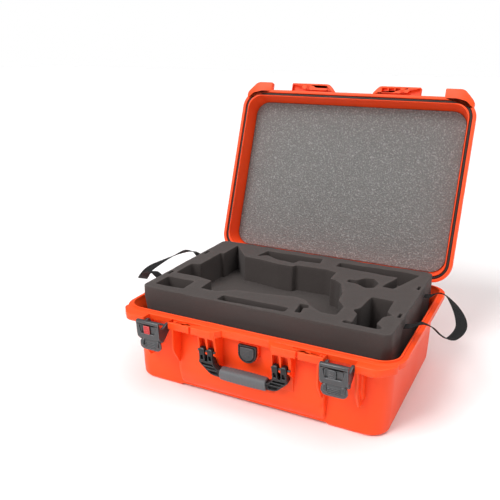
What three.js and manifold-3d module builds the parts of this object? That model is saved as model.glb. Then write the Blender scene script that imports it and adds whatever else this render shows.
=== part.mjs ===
// Hard-shell carrying case for a drone, standing open: millimetres, +Z up, front towards -Y.
// The origin is the middle of the base's underside, on the surface that the case stands on.
import * as THREE from "three";
import { mergeVertices } from "three/addons/utils/BufferGeometryUtils.js";
import Module from "manifold-3d";

const wasm = await Module();
wasm.setup();

// ---- driving dimensions -------------------------------------------------------------------
const RIM = { hx: 277, hy: 201, r: 44 }; // half sizes and corner radius of both rims
const PARTING = 152; // height where base and lid meet
const LID_HEIGHT = 66.5; // lid above the parting plane when closed
const LID_OPEN = 109.3; // degrees from closed to the hinge stop
const HINGE = { y: 204, z: PARTING, x: 163, pin: 2.5, barrel: 6.8 };
const HANDLE_PIVOT = { y: -212, z: 108, tilt: 8 }; // tilt: degrees that the handle leans into its pocket
const LATCH = { x: 180, width: 49, y: -212, z: 141, swing: 94.5 }; // swing: claw's turn, hooked to parked
const LEVER_PIN = { y: -19.4, z: 21.6 }; // from the claw's pin, with the claw hooked
const TRAY = { hx: 249.5, hy: 169, y: 3, bottom: 68, top: 189, r: 30 };
const LID_FOAM_FACE = 191; // lid foam's visible face, height when closed
const FLANGE_FRONT = -219; // front edge of the padlock and corner flanges
const BAND = 14; // height of the outer rim bands
const GAP = 0.3; // clearance between touching pieces
const CORNER_STEPS = 5; // segments in a rounded corner

// ---- materials ------------------------------------------------------------------------------
const finish = (color, roughness, metalness = 0) =>
  new THREE.MeshStandardMaterial({ color, roughness, metalness });
const ORANGE = finish(0xff5428, 0.45);
const BLACK = finish(0x1b1b1c, 0.4);
const GREY_GRIP = finish(0x4b4d50, 0.7);
const RED = finish(0xc4202c, 0.4);
const SEAL = finish(0x1a120e, 0.85);
const STEEL = finish(0xb9bcc0, 0.3, 1);
const TRAY_FOAM = finish(0x4a4341, 0.95);
const LID_FOAM = finish(0x77787a, 0.95);
const WEBBING = finish(0x2a2a2b, 0.85);

// ---- solids and placing ---------------------------------------------------------------------
function solid(geometry) {
  const bare = geometry.clone();
  bare.deleteAttribute("normal");
  bare.deleteAttribute("uv");
  const merged = mergeVertices(bare, 1e-4);
  return new wasm.Manifold(
    new wasm.Mesh({
      numProp: 3,
      vertProperties: Float32Array.from(merged.attributes.position.array),
      triVerts: Uint32Array.from(merged.index.array),
    }),
  );
}

function join(parts) {
  return parts.reduce((whole, part) => whole.add(part));
}

function cut(body, parts) {
  return parts.reduce((whole, part) => whole.subtract(part), body);
}

function box(x, y, z) {
  const geometry = new THREE.BoxGeometry(
    Math.abs(x[1] - x[0]),
    Math.abs(y[1] - y[0]),
    Math.abs(z[1] - z[0]),
  );
  geometry.translate((x[0] + x[1]) / 2, (y[0] + y[1]) / 2, (z[0] + z[1]) / 2);
  return solid(geometry);
}

function outline(points) {
  return new THREE.Shape(points.map(([a, b]) => new THREE.Vector2(a, b)));
}

function roundedRect(hx, hy, r, x = 0, y = 0) {
  const shape = new THREE.Shape();
  shape.absarc(x + hx - r, y - hy + r, r, -Math.PI / 2, 0);
  shape.absarc(x + hx - r, y + hy - r, r, 0, Math.PI / 2);
  shape.absarc(x - hx + r, y + hy - r, r, Math.PI / 2, Math.PI);
  shape.absarc(x - hx + r, y - hy + r, r, Math.PI, Math.PI * 1.5);
  return shape;
}

function extrude(shape, depth, curveSegments = CORNER_STEPS) {
  return new THREE.ExtrudeGeometry(shape, { depth, curveSegments, bevelEnabled: false });
}

const X_AXIS = new THREE.Vector3(1, 0, 0);
const Y_AXIS = new THREE.Vector3(0, 1, 0);
const Z_AXIS = new THREE.Vector3(0, 0, 1);

// A shape drawn in (x, y), standing between two heights.
function upright(shape, z) {
  return solid(extrude(shape, z[1] - z[0]).translate(0, 0, z[0]));
}

// A side profile drawn in (y, z), carried from one x to another.
function across(shape, x) {
  const low = Math.min(...x);
  const geometry = extrude(shape, Math.abs(x[1] - x[0]));
  geometry.applyMatrix4(new THREE.Matrix4().makeBasis(Y_AXIS, Z_AXIS, X_AXIS));
  return solid(geometry.translate(low, 0, 0));
}

// A front profile drawn in (x, z), carried from the near y to the far y.
function facing(shape, y) {
  const high = Math.max(...y);
  const geometry = extrude(shape, Math.abs(y[1] - y[0]));
  geometry.applyMatrix4(new THREE.Matrix4().makeBasis(X_AXIS, Z_AXIS, Y_AXIS.clone().negate()));
  return solid(geometry.translate(0, high, 0));
}

function rodAcross(radius, x, y, z, sides = 16) {
  const geometry = new THREE.CylinderGeometry(radius, radius, Math.abs(x[1] - x[0]), sides);
  return solid(geometry.rotateZ(Math.PI / 2).translate((x[0] + x[1]) / 2, y, z));
}

function rodUpright(radius, x, y, z, sides = 16) {
  const geometry = new THREE.CylinderGeometry(radius, radius, z[1] - z[0], sides);
  return solid(geometry.rotateX(Math.PI / 2).translate(x, y, (z[0] + z[1]) / 2));
}

function rodFacing(radius, x, y, z, sides = 20) {
  const geometry = new THREE.CylinderGeometry(radius, radius, Math.abs(y[1] - y[0]), sides);
  return solid(geometry.translate(x, (y[0] + y[1]) / 2, z));
}

// A tapering body: rounded rectangles [z, half x, half y] joined level by level.
function loft(levels, r, x = 0, y = 0) {
  const [, hx, hy] = levels[0];
  const geometry = new THREE.ExtrudeGeometry(roundedRect(hx, hy, r), {
    depth: levels.length - 1,
    steps: levels.length - 1,
    curveSegments: CORNER_STEPS,
    bevelEnabled: false,
  });
  const position = geometry.attributes.position;
  for (let i = 0; i < position.count; i += 1) {
    const level = levels[Math.round(position.getZ(i))];
    const px = position.getX(i);
    const py = position.getY(i);
    position.setX(i, px + Math.sign(px) * (level[1] - hx) + x);
    position.setY(i, py + Math.sign(py) * (level[2] - hy) + y);
    position.setZ(i, level[0]);
  }
  return solid(geometry);
}

function ring(outer, inner, z) {
  const outside = upright(roundedRect(outer.hx, outer.hy, outer.r), z);
  return outside.subtract(
    upright(roundedRect(inner.hx, inner.hy, inner.r), [z[0] - 1, z[1] + 1]),
  );
}

function inset(distance) {
  return { hx: RIM.hx - distance, hy: RIM.hy - distance, r: RIM.r - distance };
}

// The span from |x| = a to |x| = b on one side of the case.
function span(side, a, b) {
  return side > 0 ? [a, b] : [-b, -a];
}

const SIDES = [
  ["left", -1],
  ["right", 1],
];

const caseGroup = new THREE.Group();
const lidGroup = new THREE.Group();
lidGroup.position.set(0, HINGE.y, HINGE.z);
lidGroup.rotation.x = THREE.MathUtils.degToRad(-LID_OPEN);
caseGroup.add(lidGroup);

function addMesh(parent, name, body, material) {
  const data = body.getMesh();
  const geometry = new THREE.BufferGeometry();
  const positions = new THREE.BufferAttribute(Float32Array.from(data.vertProperties), 3);
  geometry.setAttribute("position", positions);
  geometry.setIndex(new THREE.BufferAttribute(Uint32Array.from(data.triVerts), 1));
  geometry.computeVertexNormals();
  const mesh = new THREE.Mesh(geometry, material);
  mesh.name = name;
  parent.add(mesh);
  return mesh;
}

// Lid pieces are drawn closed, in the case's own frame, and hang in the tilted lid group.
function addLidMesh(name, body, material) {
  const mesh = addMesh(lidGroup, name, body, material);
  mesh.position.set(0, -HINGE.y, -HINGE.z);
}

// ---- shared plan shapes of the front flanges ------------------------------------------------
const FLANGE = { tabInner: 46, tabSlope: 60, tabOuter: 153.5, cornerInner: 206.5, cornerOuter: 248 };
const PADLOCK = { x: 122, y: -211.5, r: 4.8 };

function mirrored(points, side) {
  return outline(points.map(([x, y]) => [side * x, y]));
}

function flangeTab(side, z) {
  const tab = mirrored(
    [
      [FLANGE.tabInner, -190],
      [FLANGE.tabInner, -202],
      [FLANGE.tabSlope, FLANGE_FRONT],
      [FLANGE.tabOuter, FLANGE_FRONT],
      [FLANGE.tabOuter, -190],
    ],
    side,
  );
  const hole = rodUpright(PADLOCK.r, side * PADLOCK.x, PADLOCK.y, [z[0] - 1, z[1] + 1], 12);
  return upright(tab, z).subtract(hole);
}

function flangeCorner(side, z) {
  const corner = mirrored(
    [
      [FLANGE.cornerInner, -185],
      [FLANGE.cornerInner, FLANGE_FRONT],
      [FLANGE.cornerOuter, FLANGE_FRONT],
      [270, -195],
      [262, -180],
    ],
    side,
  );
  return upright(corner, z);
}

// ---- base shell -----------------------------------------------------------------------------
const TONGUE = { out: 8.5, in: 11.5, top: PARTING + 3.5 };
const HINGE_FIN = { inner: [129.5, 136.5], outer: [189.5, 196.5] };

function baseOutside() {
  return loft(
    [
      [0, 244, 170],
      [2.5, 250, 176],
      [9, 253.5, 179],
      [26, 255, 180.5],
      [130, 258, 182.5],
      [135, 262, 187],
      [PARTING - BAND, 277, 201],
      [PARTING, 277, 201],
    ],
    RIM.r,
  );
}

function baseHollow() {
  return loft(
    [
      [14, 242, 166],
      [22, 248.5, 172.5],
      [130, 254, 178.5],
      [PARTING + 10, 264, 188],
    ],
    32,
  );
}

function apron() {
  const tall = [
    [-172, 12],
    [-186, 7],
    [-192, 20],
    [-196, 45],
    [-196, 66],
    [-184, 90],
    [-172, 90],
  ];
  const low = tall.map(([y, z]) => [y, Math.min(z, 50 + (y + 196) * 0.8)]);
  const parts = SIDES.map(([, side]) => across(outline(tall), span(side, 55.5, 147)));
  parts.push(across(outline(low), [-56, 56]));
  return join(parts);
}

function bracket(side) {
  const block = [
    [-178, PARTING - 2],
    [-216, PARTING - 2],
    [-216, 104],
    [-201, 92],
    [-196, 60],
    [-180, 50],
  ];
  return across(outline(block), span(side, 55.5, 92.6));
}

function bracketCuts(side) {
  const { y, z } = HANDLE_PIVOT;
  const slots = [
    [58.3, 71],
    [75, 88],
  ].map((x) => box(span(side, ...x), [-230, -200.5], [85, 134.5]));
  return [...slots, rodAcross(2.9, span(side, 54, 94), y, z)];
}

function latchFins(side) {
  const fin = [
    [-178, PARTING - 3],
    [-218.5, PARTING - 3],
    [-218.5, 98],
    [-188, 77],
    [-178, 77],
  ];
  const stub = [
    [-178, PARTING - 3],
    [-212, PARTING - 3],
    [-212, 132],
    [-186, 120],
    [-178, 120],
  ];
  return [
    across(outline(fin), span(side, 142, 150)),
    across(outline(fin), span(side, 209, 216)),
    across(outline(stub), span(side, 222, 230)),
  ];
}

function latchPinHole(side) {
  return rodAcross(2.3, span(side, 141, 217), LATCH.y, LATCH.z);
}

function hingeFin(x) {
  const fin = [
    [180, 96],
    [184, 96],
    [203, 112],
    [211, 136],
    [211, HINGE.z],
    [204, HINGE.z],
    [196.6, HINGE.z],
    [192, HINGE.z - 6],
    [190, 138],
    [181, 131],
  ];
  return across(outline(fin), x).add(rodAcross(7.2, x, HINGE.y, HINGE.z, 20));
}

function hingeSpace(side) {
  const x = span(side, HINGE_FIN.inner[1] + GAP, HINGE_FIN.outer[0] - GAP);
  return box(x, [196.4, 220], [PARTING - 9, PARTING + 12]);
}

function rearFlange(side) {
  const plate = box(span(side, 61, 129.8), [194, 216], [PARTING - 14, PARTING - 6]);
  return plate.subtract(rodUpright(5, side * 99, 208, [100, 160], 12));
}

function baseShell() {
  const parts = [
    baseOutside(),
    ring(inset(TONGUE.out), inset(TONGUE.in), [PARTING - 2, TONGUE.top]),
    apron(),
    box([-24, 24], [-190, -180], [92, PARTING - 2]),
    box([-FLANGE.tabInner - 1, FLANGE.tabInner + 1], [-203, -190], [PARTING - BAND, PARTING - GAP]),
  ];
  for (const [, side] of SIDES) {
    parts.push(bracket(side), ...latchFins(side));
    parts.push(flangeTab(side, [PARTING - BAND, PARTING - GAP]));
    parts.push(flangeCorner(side, [PARTING - BAND, PARTING - GAP]));
    parts.push(rearFlange(side));
  }
  const holes = [
    baseHollow(),
    box([-150, 150], [-230, 230], [-5, 7]),
    rodFacing(6, 0, [-200, -160], 112),
  ];
  for (const [, side] of SIDES) {
    holes.push(...bracketCuts(side), hingeSpace(side));
    holes.push(box(span(side, 103.5, 107.5), [-225, -214], [PARTING - 20, PARTING + 2]));
    holes.push(rodUpright(PADLOCK.r, side * PADLOCK.x, PADLOCK.y, [PARTING - 20, PARTING + 5], 12));
  }
  const body = cut(join(parts), holes);
  const added = [upright(roundedRect(60, 40, 8), [0, 8])];
  for (const [, side] of SIDES) {
    added.push(hingeFin(span(side, ...HINGE_FIN.inner)), hingeFin(span(side, ...HINGE_FIN.outer)));
  }
  const pinHoles = SIDES.map(([, side]) => latchPinHole(side));
  for (const [, side] of SIDES) {
    pinHoles.push(rodAcross(HINGE.pin + GAP, span(side, 125, 200), HINGE.y, HINGE.z));
  }
  return cut(join([body, ...added]), pinHoles);
}

// ---- lid --------------------------------------------------------------------------------------
const LID_TOP = PARTING + LID_HEIGHT;
const GROOVE = { out: 6.5, in: 13.5, roof: PARTING + 6.5 };

function lidOutside() {
  return loft(
    [
      [PARTING + GAP, 277, 201],
      [PARTING + BAND, 277, 201],
      [PARTING + BAND + 4, 266, 190],
      [PARTING + 44, 261, 185],
      [PARTING + 56, 258.5, 182.5],
      [PARTING + 63, 251, 175],
      [LID_TOP, 238, 162],
    ],
    RIM.r,
  );
}

function lidHollow() {
  return loft(
    [
      [PARTING - 4, 261.6, 186.1],
      [LID_FOAM_FACE, 257, 181],
      [PARTING + 57, 253, 177],
      [PARTING + 61.5, 245, 169],
    ],
    34,
  );
}

function lidFins(side) {
  const fin = [
    [-200, PARTING + 2],
    [-206, PARTING + BAND],
    [-203, PARTING + 20],
    [-190, PARTING + 46],
    [-176, PARTING + 56],
    [-176, PARTING + 2],
  ];
  return [
    across(outline(fin), span(side, 148.5, 153.5)),
    across(outline(fin), span(side, 206.5, 211.5)),
  ];
}

function lidHinge(side) {
  const x = span(side, HINGE_FIN.inner[1] + 0.6, HINGE_FIN.outer[0] - 0.6);
  const arm = [
    [194.8, PARTING + 1],
    [198.6, PARTING + 1],
    [199.5, PARTING - 4],
    [206, PARTING],
    [209.5, PARTING + 4],
    [200, PARTING + 13],
    [190, PARTING + 17],
    [190, PARTING + 8],
    [194.8, PARTING + 8],
  ];
  return across(outline(arm), x).add(rodAcross(HINGE.barrel, x, HINGE.y, HINGE.z, 20));
}

function lidShell() {
  const flangeHeights = [PARTING + GAP, PARTING + BAND];
  const parts = [lidOutside()];
  const holes = [lidHollow(), ring(inset(GROOVE.out), inset(GROOVE.in), [PARTING - 4, GROOVE.roof])];
  for (const [, side] of SIDES) {
    parts.push(flangeTab(side, flangeHeights), flangeCorner(side, flangeHeights), ...lidFins(side));
    const pocket = box(span(side, 66, 108), [-215, -205], [PARTING - 2, PARTING + 9]);
    holes.push(pocket);
    holes.push(box(span(side, 128.5, 197.5), [195.9, 220], [PARTING - 2, PARTING + 8.5]));
  }
  const body = cut(join(parts), holes);
  const hinged = join([body, ...SIDES.map(([, side]) => lidHinge(side))]);
  return cut(
    hinged,
    SIDES.map(([, side]) => rodAcross(HINGE.pin + GAP, span(side, 125, 200), HINGE.y, HINGE.z)),
  );
}

// ---- handle -----------------------------------------------------------------------------------
const GRIP = { hx: 46, low: -52, high: -27, hy: 11.5 };
const CORE = { low: -46.5, high: -33, hy: 7 };

function handleFrame() {
  const half = [
    [0, CORE.low],
    [58, CORE.low],
    [68, -44],
    [90, -22],
    [87, -16],
    [86.8, 8],
    [59.5, 8],
    [59.5, -22],
    [50, CORE.high],
    [0, CORE.high],
  ];
  const side = [
    [-CORE.hy, -60],
    [CORE.hy, -60],
    [CORE.hy, 0],
    [5, 5],
    [0, 7],
    [-5, 5],
    [-CORE.hy, 0],
  ];
  const halves = SIDES.map(([, s]) => facing(mirrored(half, s), [-CORE.hy, CORE.hy]));
  const cuts = SIDES.flatMap(([, s]) => [
    box(span(s, 70, 76), [-10, 10], [-18.5, 20]),
    rodAcross(2.8, span(s, 55, 95), 0, 0),
  ]);
  return cut(join(halves).intersect(across(outline(side), [-100, 100])), cuts);
}

function handleGrip() {
  const section = new THREE.Shape();
  const r = 8;
  const { low, high, hy } = GRIP;
  section.absarc(hy - r, low + r, r, -Math.PI / 2, 0);
  section.absarc(hy - r, high - r, r, 0, Math.PI / 2);
  section.absarc(-hy + r, high - r, r, Math.PI / 2, Math.PI);
  section.absarc(-hy + r, low + r, r, Math.PI, Math.PI * 1.5);
  const core = box(
    [-60, 60],
    [-CORE.hy - GAP, CORE.hy + GAP],
    [CORE.low - GAP, CORE.high + GAP],
  );
  return across(section, [-GRIP.hx, GRIP.hx]).subtract(core);
}

// ---- latches ------------------------------------------------------------------------------------
// The claw is drawn hooked, in (y, z) from its own pin, and turned out to its parked place.
function claw() {
  const half = LATCH.width / 2;
  const plate = [
    [-16, 26],
    [-12, 26],
    [-10, 29],
    [15, 29],
    [15, 25.4],
    [20, 25.4],
    [20, 31],
    [18, 33],
    [-14, 33],
    [-16, 31],
  ];
  const arm = [
    [-14, 33],
    [-24, 25],
    [-24, 18],
    [-8, -4],
    [0, -7],
    [6, -4],
    [7, 3],
    [3, 20],
    [7, 27],
    [15, 27],
    [15, 33],
  ];
  const parts = [
    across(outline(plate), [-half, half]),
    across(outline(arm), [half - 5, half]),
    across(outline(arm), [-half, -half + 5]),
  ];
  const holes = [
    rodAcross(2.3, [-30, 30], 0, 0),
    rodAcross(2.3, [-30, 30], LEVER_PIN.y, LEVER_PIN.z),
    box([-14.5, 14.5], [-8, 12], [31, 36]),
    box([-14.5, 14.5], [-1, 7], [20, 36]),
  ];
  return cut(join(parts), holes);
}

function slideLock() {
  return join([box([-8, 4], [-6, 10], [31.3, 34]), box([-8, 4], [-0.4, 6.4], [27.5, 31.5])]);
}

// The lever is drawn hanging, in (y, z) from the pin that joins it to the claw.
function lever() {
  const half = LATCH.width / 2 - 5.6;
  const tab = [
    [-7, -4],
    [-10, -12],
    [-12.5, -21],
    [-8, -23],
    [-5, -15],
    [-2, -6],
  ];
  const cheek = [
    [-3.8, 2.6],
    [-8, -4],
    [-10, -12],
    [-5, -17],
    [3, -9],
    [4.6, 0],
    [1.8, 4.2],
    [-1.8, 4.2],
  ];
  const parts = [
    across(outline(tab), [-half, half]),
    across(outline(cheek), [half - 6, half]),
    across(outline(cheek), [-half, -half + 6]),
  ];
  return cut(join(parts), [rodAcross(2.3, [-30, 30], 0, 0)]);
}

function addLatch(name, side) {
  const x = side * LATCH.x;
  const clawGroup = new THREE.Group();
  clawGroup.position.set(x, LATCH.y, LATCH.z);
  clawGroup.rotation.x = THREE.MathUtils.degToRad(LATCH.swing);
  const leverGroup = new THREE.Group();
  leverGroup.position.set(0, LEVER_PIN.y, LEVER_PIN.z);
  leverGroup.rotation.x = THREE.MathUtils.degToRad(-LATCH.swing);
  caseGroup.add(clawGroup);
  clawGroup.add(leverGroup);
  addMesh(clawGroup, `latch_${name}_claw`, claw(), BLACK);
  addMesh(clawGroup, `latch_${name}_slide_lock`, slideLock(), side < 0 ? RED : BLACK);
  addMesh(clawGroup, `latch_${name}_pin`, rodAcross(2, [-37, 37], 0, 0), STEEL);
  addMesh(leverGroup, `latch_${name}_lever`, lever(), BLACK);
  addMesh(leverGroup, `latch_${name}_lever_pin`, rodAcross(2, [-24, 24], 0, 0), STEEL);
}

// ---- pressure valve -----------------------------------------------------------------------------
function addValve() {
  const z = 112;
  const flange = facing(dShape(18.5, z), [-195, -191.6]);
  const stem = rodFacing(5.6, 0, [-192, -172.6], z);
  const bore = rodFacing(3.2, 0, [-200, -170], z);
  addMesh(caseGroup, "valve_housing", flange.add(stem).subtract(bore), BLACK);
  const cover = facing(dShape(14, z), [-197.4, -195.3]).add(rodFacing(2.6, 0, [-196, -186], z));
  addMesh(caseGroup, "valve_cover", cover, GREY_GRIP);
  const seal = rodFacing(10, 0, [-191.3, -190.3], z).subtract(rodFacing(6.2, 0, [-200, -180], z));
  addMesh(caseGroup, "valve_seal", seal, SEAL);
  const nut = rodFacing(10, 0, [-176.9, -173.4], z, 6).subtract(rodFacing(5.9, 0, [-180, -170], z));
  addMesh(caseGroup, "valve_nut", nut, BLACK);
  addMesh(caseGroup, "valve_membrane", rodFacing(2.9, 0, [-181, -180], z, 12), LID_FOAM);
}

function dShape(half, z) {
  const shape = new THREE.Shape();
  shape.absarc(0, z, half, Math.PI, 2 * Math.PI);
  shape.lineTo(half, z + 0.87 * half);
  shape.lineTo(-half, z + 0.87 * half);
  return shape;
}

// ---- foam ---------------------------------------------------------------------------------------
// Cut-outs in the tray: plan outline [x, y] and depth below the tray's top.
const POCKETS = {
  battery: { depth: 26, points: [[-230, -143], [-167, -141], [-169, -96], [-230, -98]] },
  aircraft: {
    depth: 58,
    points: [
      [-229, -70], [-229, -10], [-210, -3], [-210, 84], [-201, 84], [-201, 150], [-150, 87],
      [-107, 84], [-61, 75], [-29, 75], [-25, 87], [43, 90], [67, 81], [68, 41], [80, 40],
      [96, 26], [116, -23], [121, -58], [139, -81], [139, -122], [110, -124], [82, -103],
      [65, -83], [40, -79], [-22, -94], [-75, -99], [-90, -112], [-103, -122], [-139, -122],
      [-139, -78], [-183, -69],
    ],
  },
  longSlot: { depth: 20, points: [[-83, -158], [52, -152], [52, -132], [-82, -133]] },
  keySlot: { depth: 20, points: [[69, -145], [80, -143], [75, -120], [84, -117], [80, -104], [64, -106]] },
  island: {
    depth: 30,
    points: [[-128, 102], [-120, 146], [12, 150], [16, 120], [-31, 118], [-36, 98], [-74, 101], [-108, 119]],
  },
  rearBar: {
    depth: 32,
    points: [[53, 119], [55, 144], [184, 150], [226, 143], [196, 46], [174, 49], [189, 112], [68, 118]],
  },
  bulb: {
    depth: 40,
    points: [[102, 44], [104, 58], [119, 57], [131, 76], [148, 82], [163, 64], [161, 36], [147, 27], [126, 39]],
  },
  camera: {
    depth: 85,
    points: [
      [172, -15], [214, -15], [216, -69], [228, -79], [215, -94], [213, -126], [226, -138],
      [224, -146], [158, -146], [159, -135], [174, -138], [171, -101], [159, -86], [168, -73],
    ],
  },
};
const STRAP_SLOTS = [
  [64, 84],
  [-84, -64],
];

function foamTray() {
  const { hx, hy, y, r, bottom, top } = TRAY;
  const block = upright(roundedRect(hx, hy, r, 0, y), [bottom, top]);
  const cuts = Object.values(POCKETS).map(({ depth, points }) =>
    upright(outline(points), [top - depth, top + 5]),
  );
  for (const [, side] of SIDES) {
    for (const slot of STRAP_SLOTS) {
      cuts.push(box(span(side, 237.5, 242.5), slot, [top - 25, top + 5]));
    }
  }
  return cut(block, cuts);
}

function foamBaseLayer() {
  return loft(
    [
      [14.4, 241.3, 165.3],
      [22, 247.8, 171.8],
      [TRAY.bottom - 0.5, 248, 172],
    ],
    31,
  );
}

function lidFoam() {
  return loft(
    [
      [LID_FOAM_FACE, 256.3, 180.3],
      [PARTING + 57, 252.2, 176.2],
      [PARTING + 61, 245, 169],
    ],
    33,
  );
}

// ---- pull straps --------------------------------------------------------------------------------
// A loop of webbing that leaves the tray's side, hangs over the rim and returns.
const STRAP_PATH = [
  [253, 80, 172],
  [263, 80, 174],
  [277, 77, 184],
  [296, 68, 186],
  [316, 52, 179],
  [334, 26, 171],
  [344, 0, 165],
  [346, -22, 160],
  [341, -45, 154],
  [331, -62, 153],
  [316, -71, 165],
  [299, -78, 182],
  [280, -79, 186],
  [264, -78, 175],
  [253, -78, 172],
];
const STRAP = { width: 20, thickness: 1.6 };

function strap(side) {
  const points = STRAP_PATH.map(([x, y, z]) => new THREE.Vector3(side * x, y, z));
  const curve = new THREE.CatmullRomCurve3(points);
  const section = new THREE.Shape();
  const w = STRAP.width / 2;
  const t = STRAP.thickness / 2;
  section.moveTo(-t, -w);
  section.lineTo(t, -w);
  section.lineTo(t, w);
  section.lineTo(-t, w);
  return solid(
    new THREE.ExtrudeGeometry(section, { extrudePath: curve, steps: 40, bevelEnabled: false }),
  );
}

// ---- assembly -----------------------------------------------------------------------------------
addMesh(caseGroup, "base_shell", baseShell(), ORANGE);
addLidMesh("lid_shell", lidShell(), ORANGE);
const gasket = ring(inset(7.2), inset(12.8), [PARTING + 4.2, PARTING + 6.2]);
addLidMesh("lid_gasket", gasket, SEAL);
addLidMesh("lid_foam", lidFoam(), LID_FOAM);
const badge = box([-29, 29], [141, 151], [LID_TOP + GAP, LID_TOP + 1.5]);
addLidMesh("lid_badge", badge, BLACK);
addMesh(caseGroup, "foam_tray", foamTray(), TRAY_FOAM);
addMesh(caseGroup, "foam_base_layer", foamBaseLayer(), TRAY_FOAM);

const handleGroup = new THREE.Group();
handleGroup.position.set(0, HANDLE_PIVOT.y, HANDLE_PIVOT.z);
handleGroup.rotation.x = THREE.MathUtils.degToRad(HANDLE_PIVOT.tilt);
caseGroup.add(handleGroup);
addMesh(handleGroup, "handle_frame", handleFrame(), BLACK);
addMesh(handleGroup, "handle_grip", handleGrip(), GREY_GRIP);

for (const [name, side] of SIDES) {
  const handlePin = rodAcross(2.5, span(side, 55.8, 92.8), HANDLE_PIVOT.y, HANDLE_PIVOT.z);
  addMesh(caseGroup, `handle_pin_${name}`, handlePin, STEEL);
  const hingePin = rodAcross(HINGE.pin, span(side, 128.5, 197.5), HINGE.y, HINGE.z);
  addMesh(caseGroup, `hinge_pin_${name}`, hingePin, STEEL);
  addMesh(caseGroup, `pull_strap_${name}`, strap(side), WEBBING);
  addLatch(name, side);
}
addValve();

export default caseGroup;
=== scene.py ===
"""Hard orange carrying case for a drone, standing open, with a cut foam tray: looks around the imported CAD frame."""

import math

import bpy
import numpy as np
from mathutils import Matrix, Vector
from mathutils.geometry import delaunay_2d_cdt


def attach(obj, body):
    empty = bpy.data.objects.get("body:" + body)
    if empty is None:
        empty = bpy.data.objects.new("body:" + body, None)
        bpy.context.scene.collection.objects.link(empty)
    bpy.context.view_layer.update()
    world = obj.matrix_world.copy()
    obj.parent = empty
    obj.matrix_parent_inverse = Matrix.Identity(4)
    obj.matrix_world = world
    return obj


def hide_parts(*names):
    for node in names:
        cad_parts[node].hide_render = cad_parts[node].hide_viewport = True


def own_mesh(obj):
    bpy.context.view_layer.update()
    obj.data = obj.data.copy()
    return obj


bl_info = {
    "name": "Drone Carrying Case",
    "version": (1, 0, 0),
    "blender": (4, 5, 0),
    "location": "View3D > Sidebar > Case",
    "description": "Builds an open hard case with latches, handle, valve and a cut foam tray",
    "category": "Add Mesh",
}

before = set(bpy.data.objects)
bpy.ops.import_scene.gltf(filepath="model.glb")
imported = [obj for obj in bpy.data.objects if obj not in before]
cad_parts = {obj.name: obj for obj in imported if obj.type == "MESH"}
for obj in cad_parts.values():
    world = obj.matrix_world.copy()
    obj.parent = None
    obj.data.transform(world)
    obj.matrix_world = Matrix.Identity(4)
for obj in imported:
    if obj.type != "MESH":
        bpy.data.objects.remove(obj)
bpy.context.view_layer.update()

MM = 0.001
SIDES = (("left", -1), ("right", 1))

# ---- driving sizes, in millimetres, as in the CAD --------------------------------------------
RIM = (277.0, 201.0, 44.0)  # half width, half depth and corner radius of both rims
HINGE_Y, HINGE_Z = 204.0, 152.0
LID_OPEN = 109.3
HANDLE_Y, HANDLE_Z, HANDLE_TILT = -212.0, 108.0, 8.0
LATCH_X, LATCH_Y, LATCH_Z, LATCH_SWING = 180.0, -212.0, 141.0, 94.5
LEVER_Y, LEVER_Z = -19.4, 21.6
VALVE_Z = 112.0


# ---- shapes as whole arrays -------------------------------------------------------------------
class Part:
    """Points with faces of any size; edge marks rounded edges and run holds cloth coordinates in metres."""

    def __init__(self, verts, faces, edge=None, run=None):
        self.verts = np.asarray(verts, float).reshape(-1, 3)
        self.faces = [np.atleast_2d(np.asarray(f, int)) for f in faces if len(f)]
        count = len(self.verts)
        self.edge = np.zeros(count) if edge is None else np.asarray(edge, float).ravel()
        self.run = np.zeros((count, 3)) if run is None else np.asarray(run, float).reshape(-1, 3)

    def moved(self, change):
        """The same part with change, a function of an array of points, applied."""
        return Part(change(self.verts), self.faces, self.edge, self.run)

    def loops(self):
        """The faces as one list of corners, and the number of corners of each."""
        totals = np.concatenate([np.full(len(f), f.shape[1]) for f in self.faces])
        return np.concatenate([f.ravel() for f in self.faces]), totals

    def outward(self):
        """Turns the faces round if the signed volume, summed over fans of triangles, is negative."""
        volume = 0.0
        for f in self.faces:
            a, b, c = self.verts[f[:, :1]], self.verts[f[:, 1:-1]], self.verts[f[:, 2:]]
            volume += np.sum(a * np.cross(b, c))
        if volume < 0:
            self.faces = [f[:, ::-1] for f in self.faces]
        return self


def eased(points, cut, steps=4, closed=True):
    """A line through points of any dimension, each corner replaced by the quadratic curve that leaves the line
    `cut` before it and joins it `cut` after. Returns the points and how much of a corner each one is."""
    p = np.asarray(points, float)
    back, fore = np.roll(p, 1, 0) - p, np.roll(p, -1, 0) - p
    long_back = np.linalg.norm(back, axis=1, keepdims=True)
    long_fore = np.linalg.norm(fore, axis=1, keepdims=True)
    reach = np.broadcast_to(np.asarray(cut, float), len(p))[:, None]
    a = p + back / long_back * np.minimum(reach, 0.45 * long_back)
    b = p + fore / long_fore * np.minimum(reach, 0.45 * long_fore)
    t = np.linspace(0, 1, steps + 1)[None, :, None]
    curve = (1 - t) ** 2 * a[:, None] + 2 * t * (1 - t) * p[:, None] + t**2 * b[:, None]
    sharp = 1 - np.sum(-back * fore, 1) / (long_back * long_fore)[:, 0]
    weight = np.clip(sharp, 0, 1)[:, None] * (4 * t * (1 - t))[:, :, 0]
    if not closed:
        curve[0], curve[-1] = p[0], p[-1]
        weight[0], weight[-1] = 0, 0
    flat = curve.reshape(-1, p.shape[1])
    keep = np.linalg.norm(flat - np.roll(flat, 1, 0), axis=1) > 1e-6
    keep[0] = True
    return flat[keep], weight.ravel()[keep]


def grid_faces(rows, cols, wrap_rows=False, wrap_cols=True):
    """Quads between neighbouring rows and columns of a grid of points."""
    i = np.arange(rows if wrap_rows else rows - 1)[:, None]
    j = np.arange(cols if wrap_cols else cols - 1)[None, :]
    down, right = (i + 1) % rows, (j + 1) % cols
    corners = (i * cols + j, i * cols + right, down * cols + right, down * cols + j)
    return np.stack(corners, -1).reshape(-1, 4)


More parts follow.
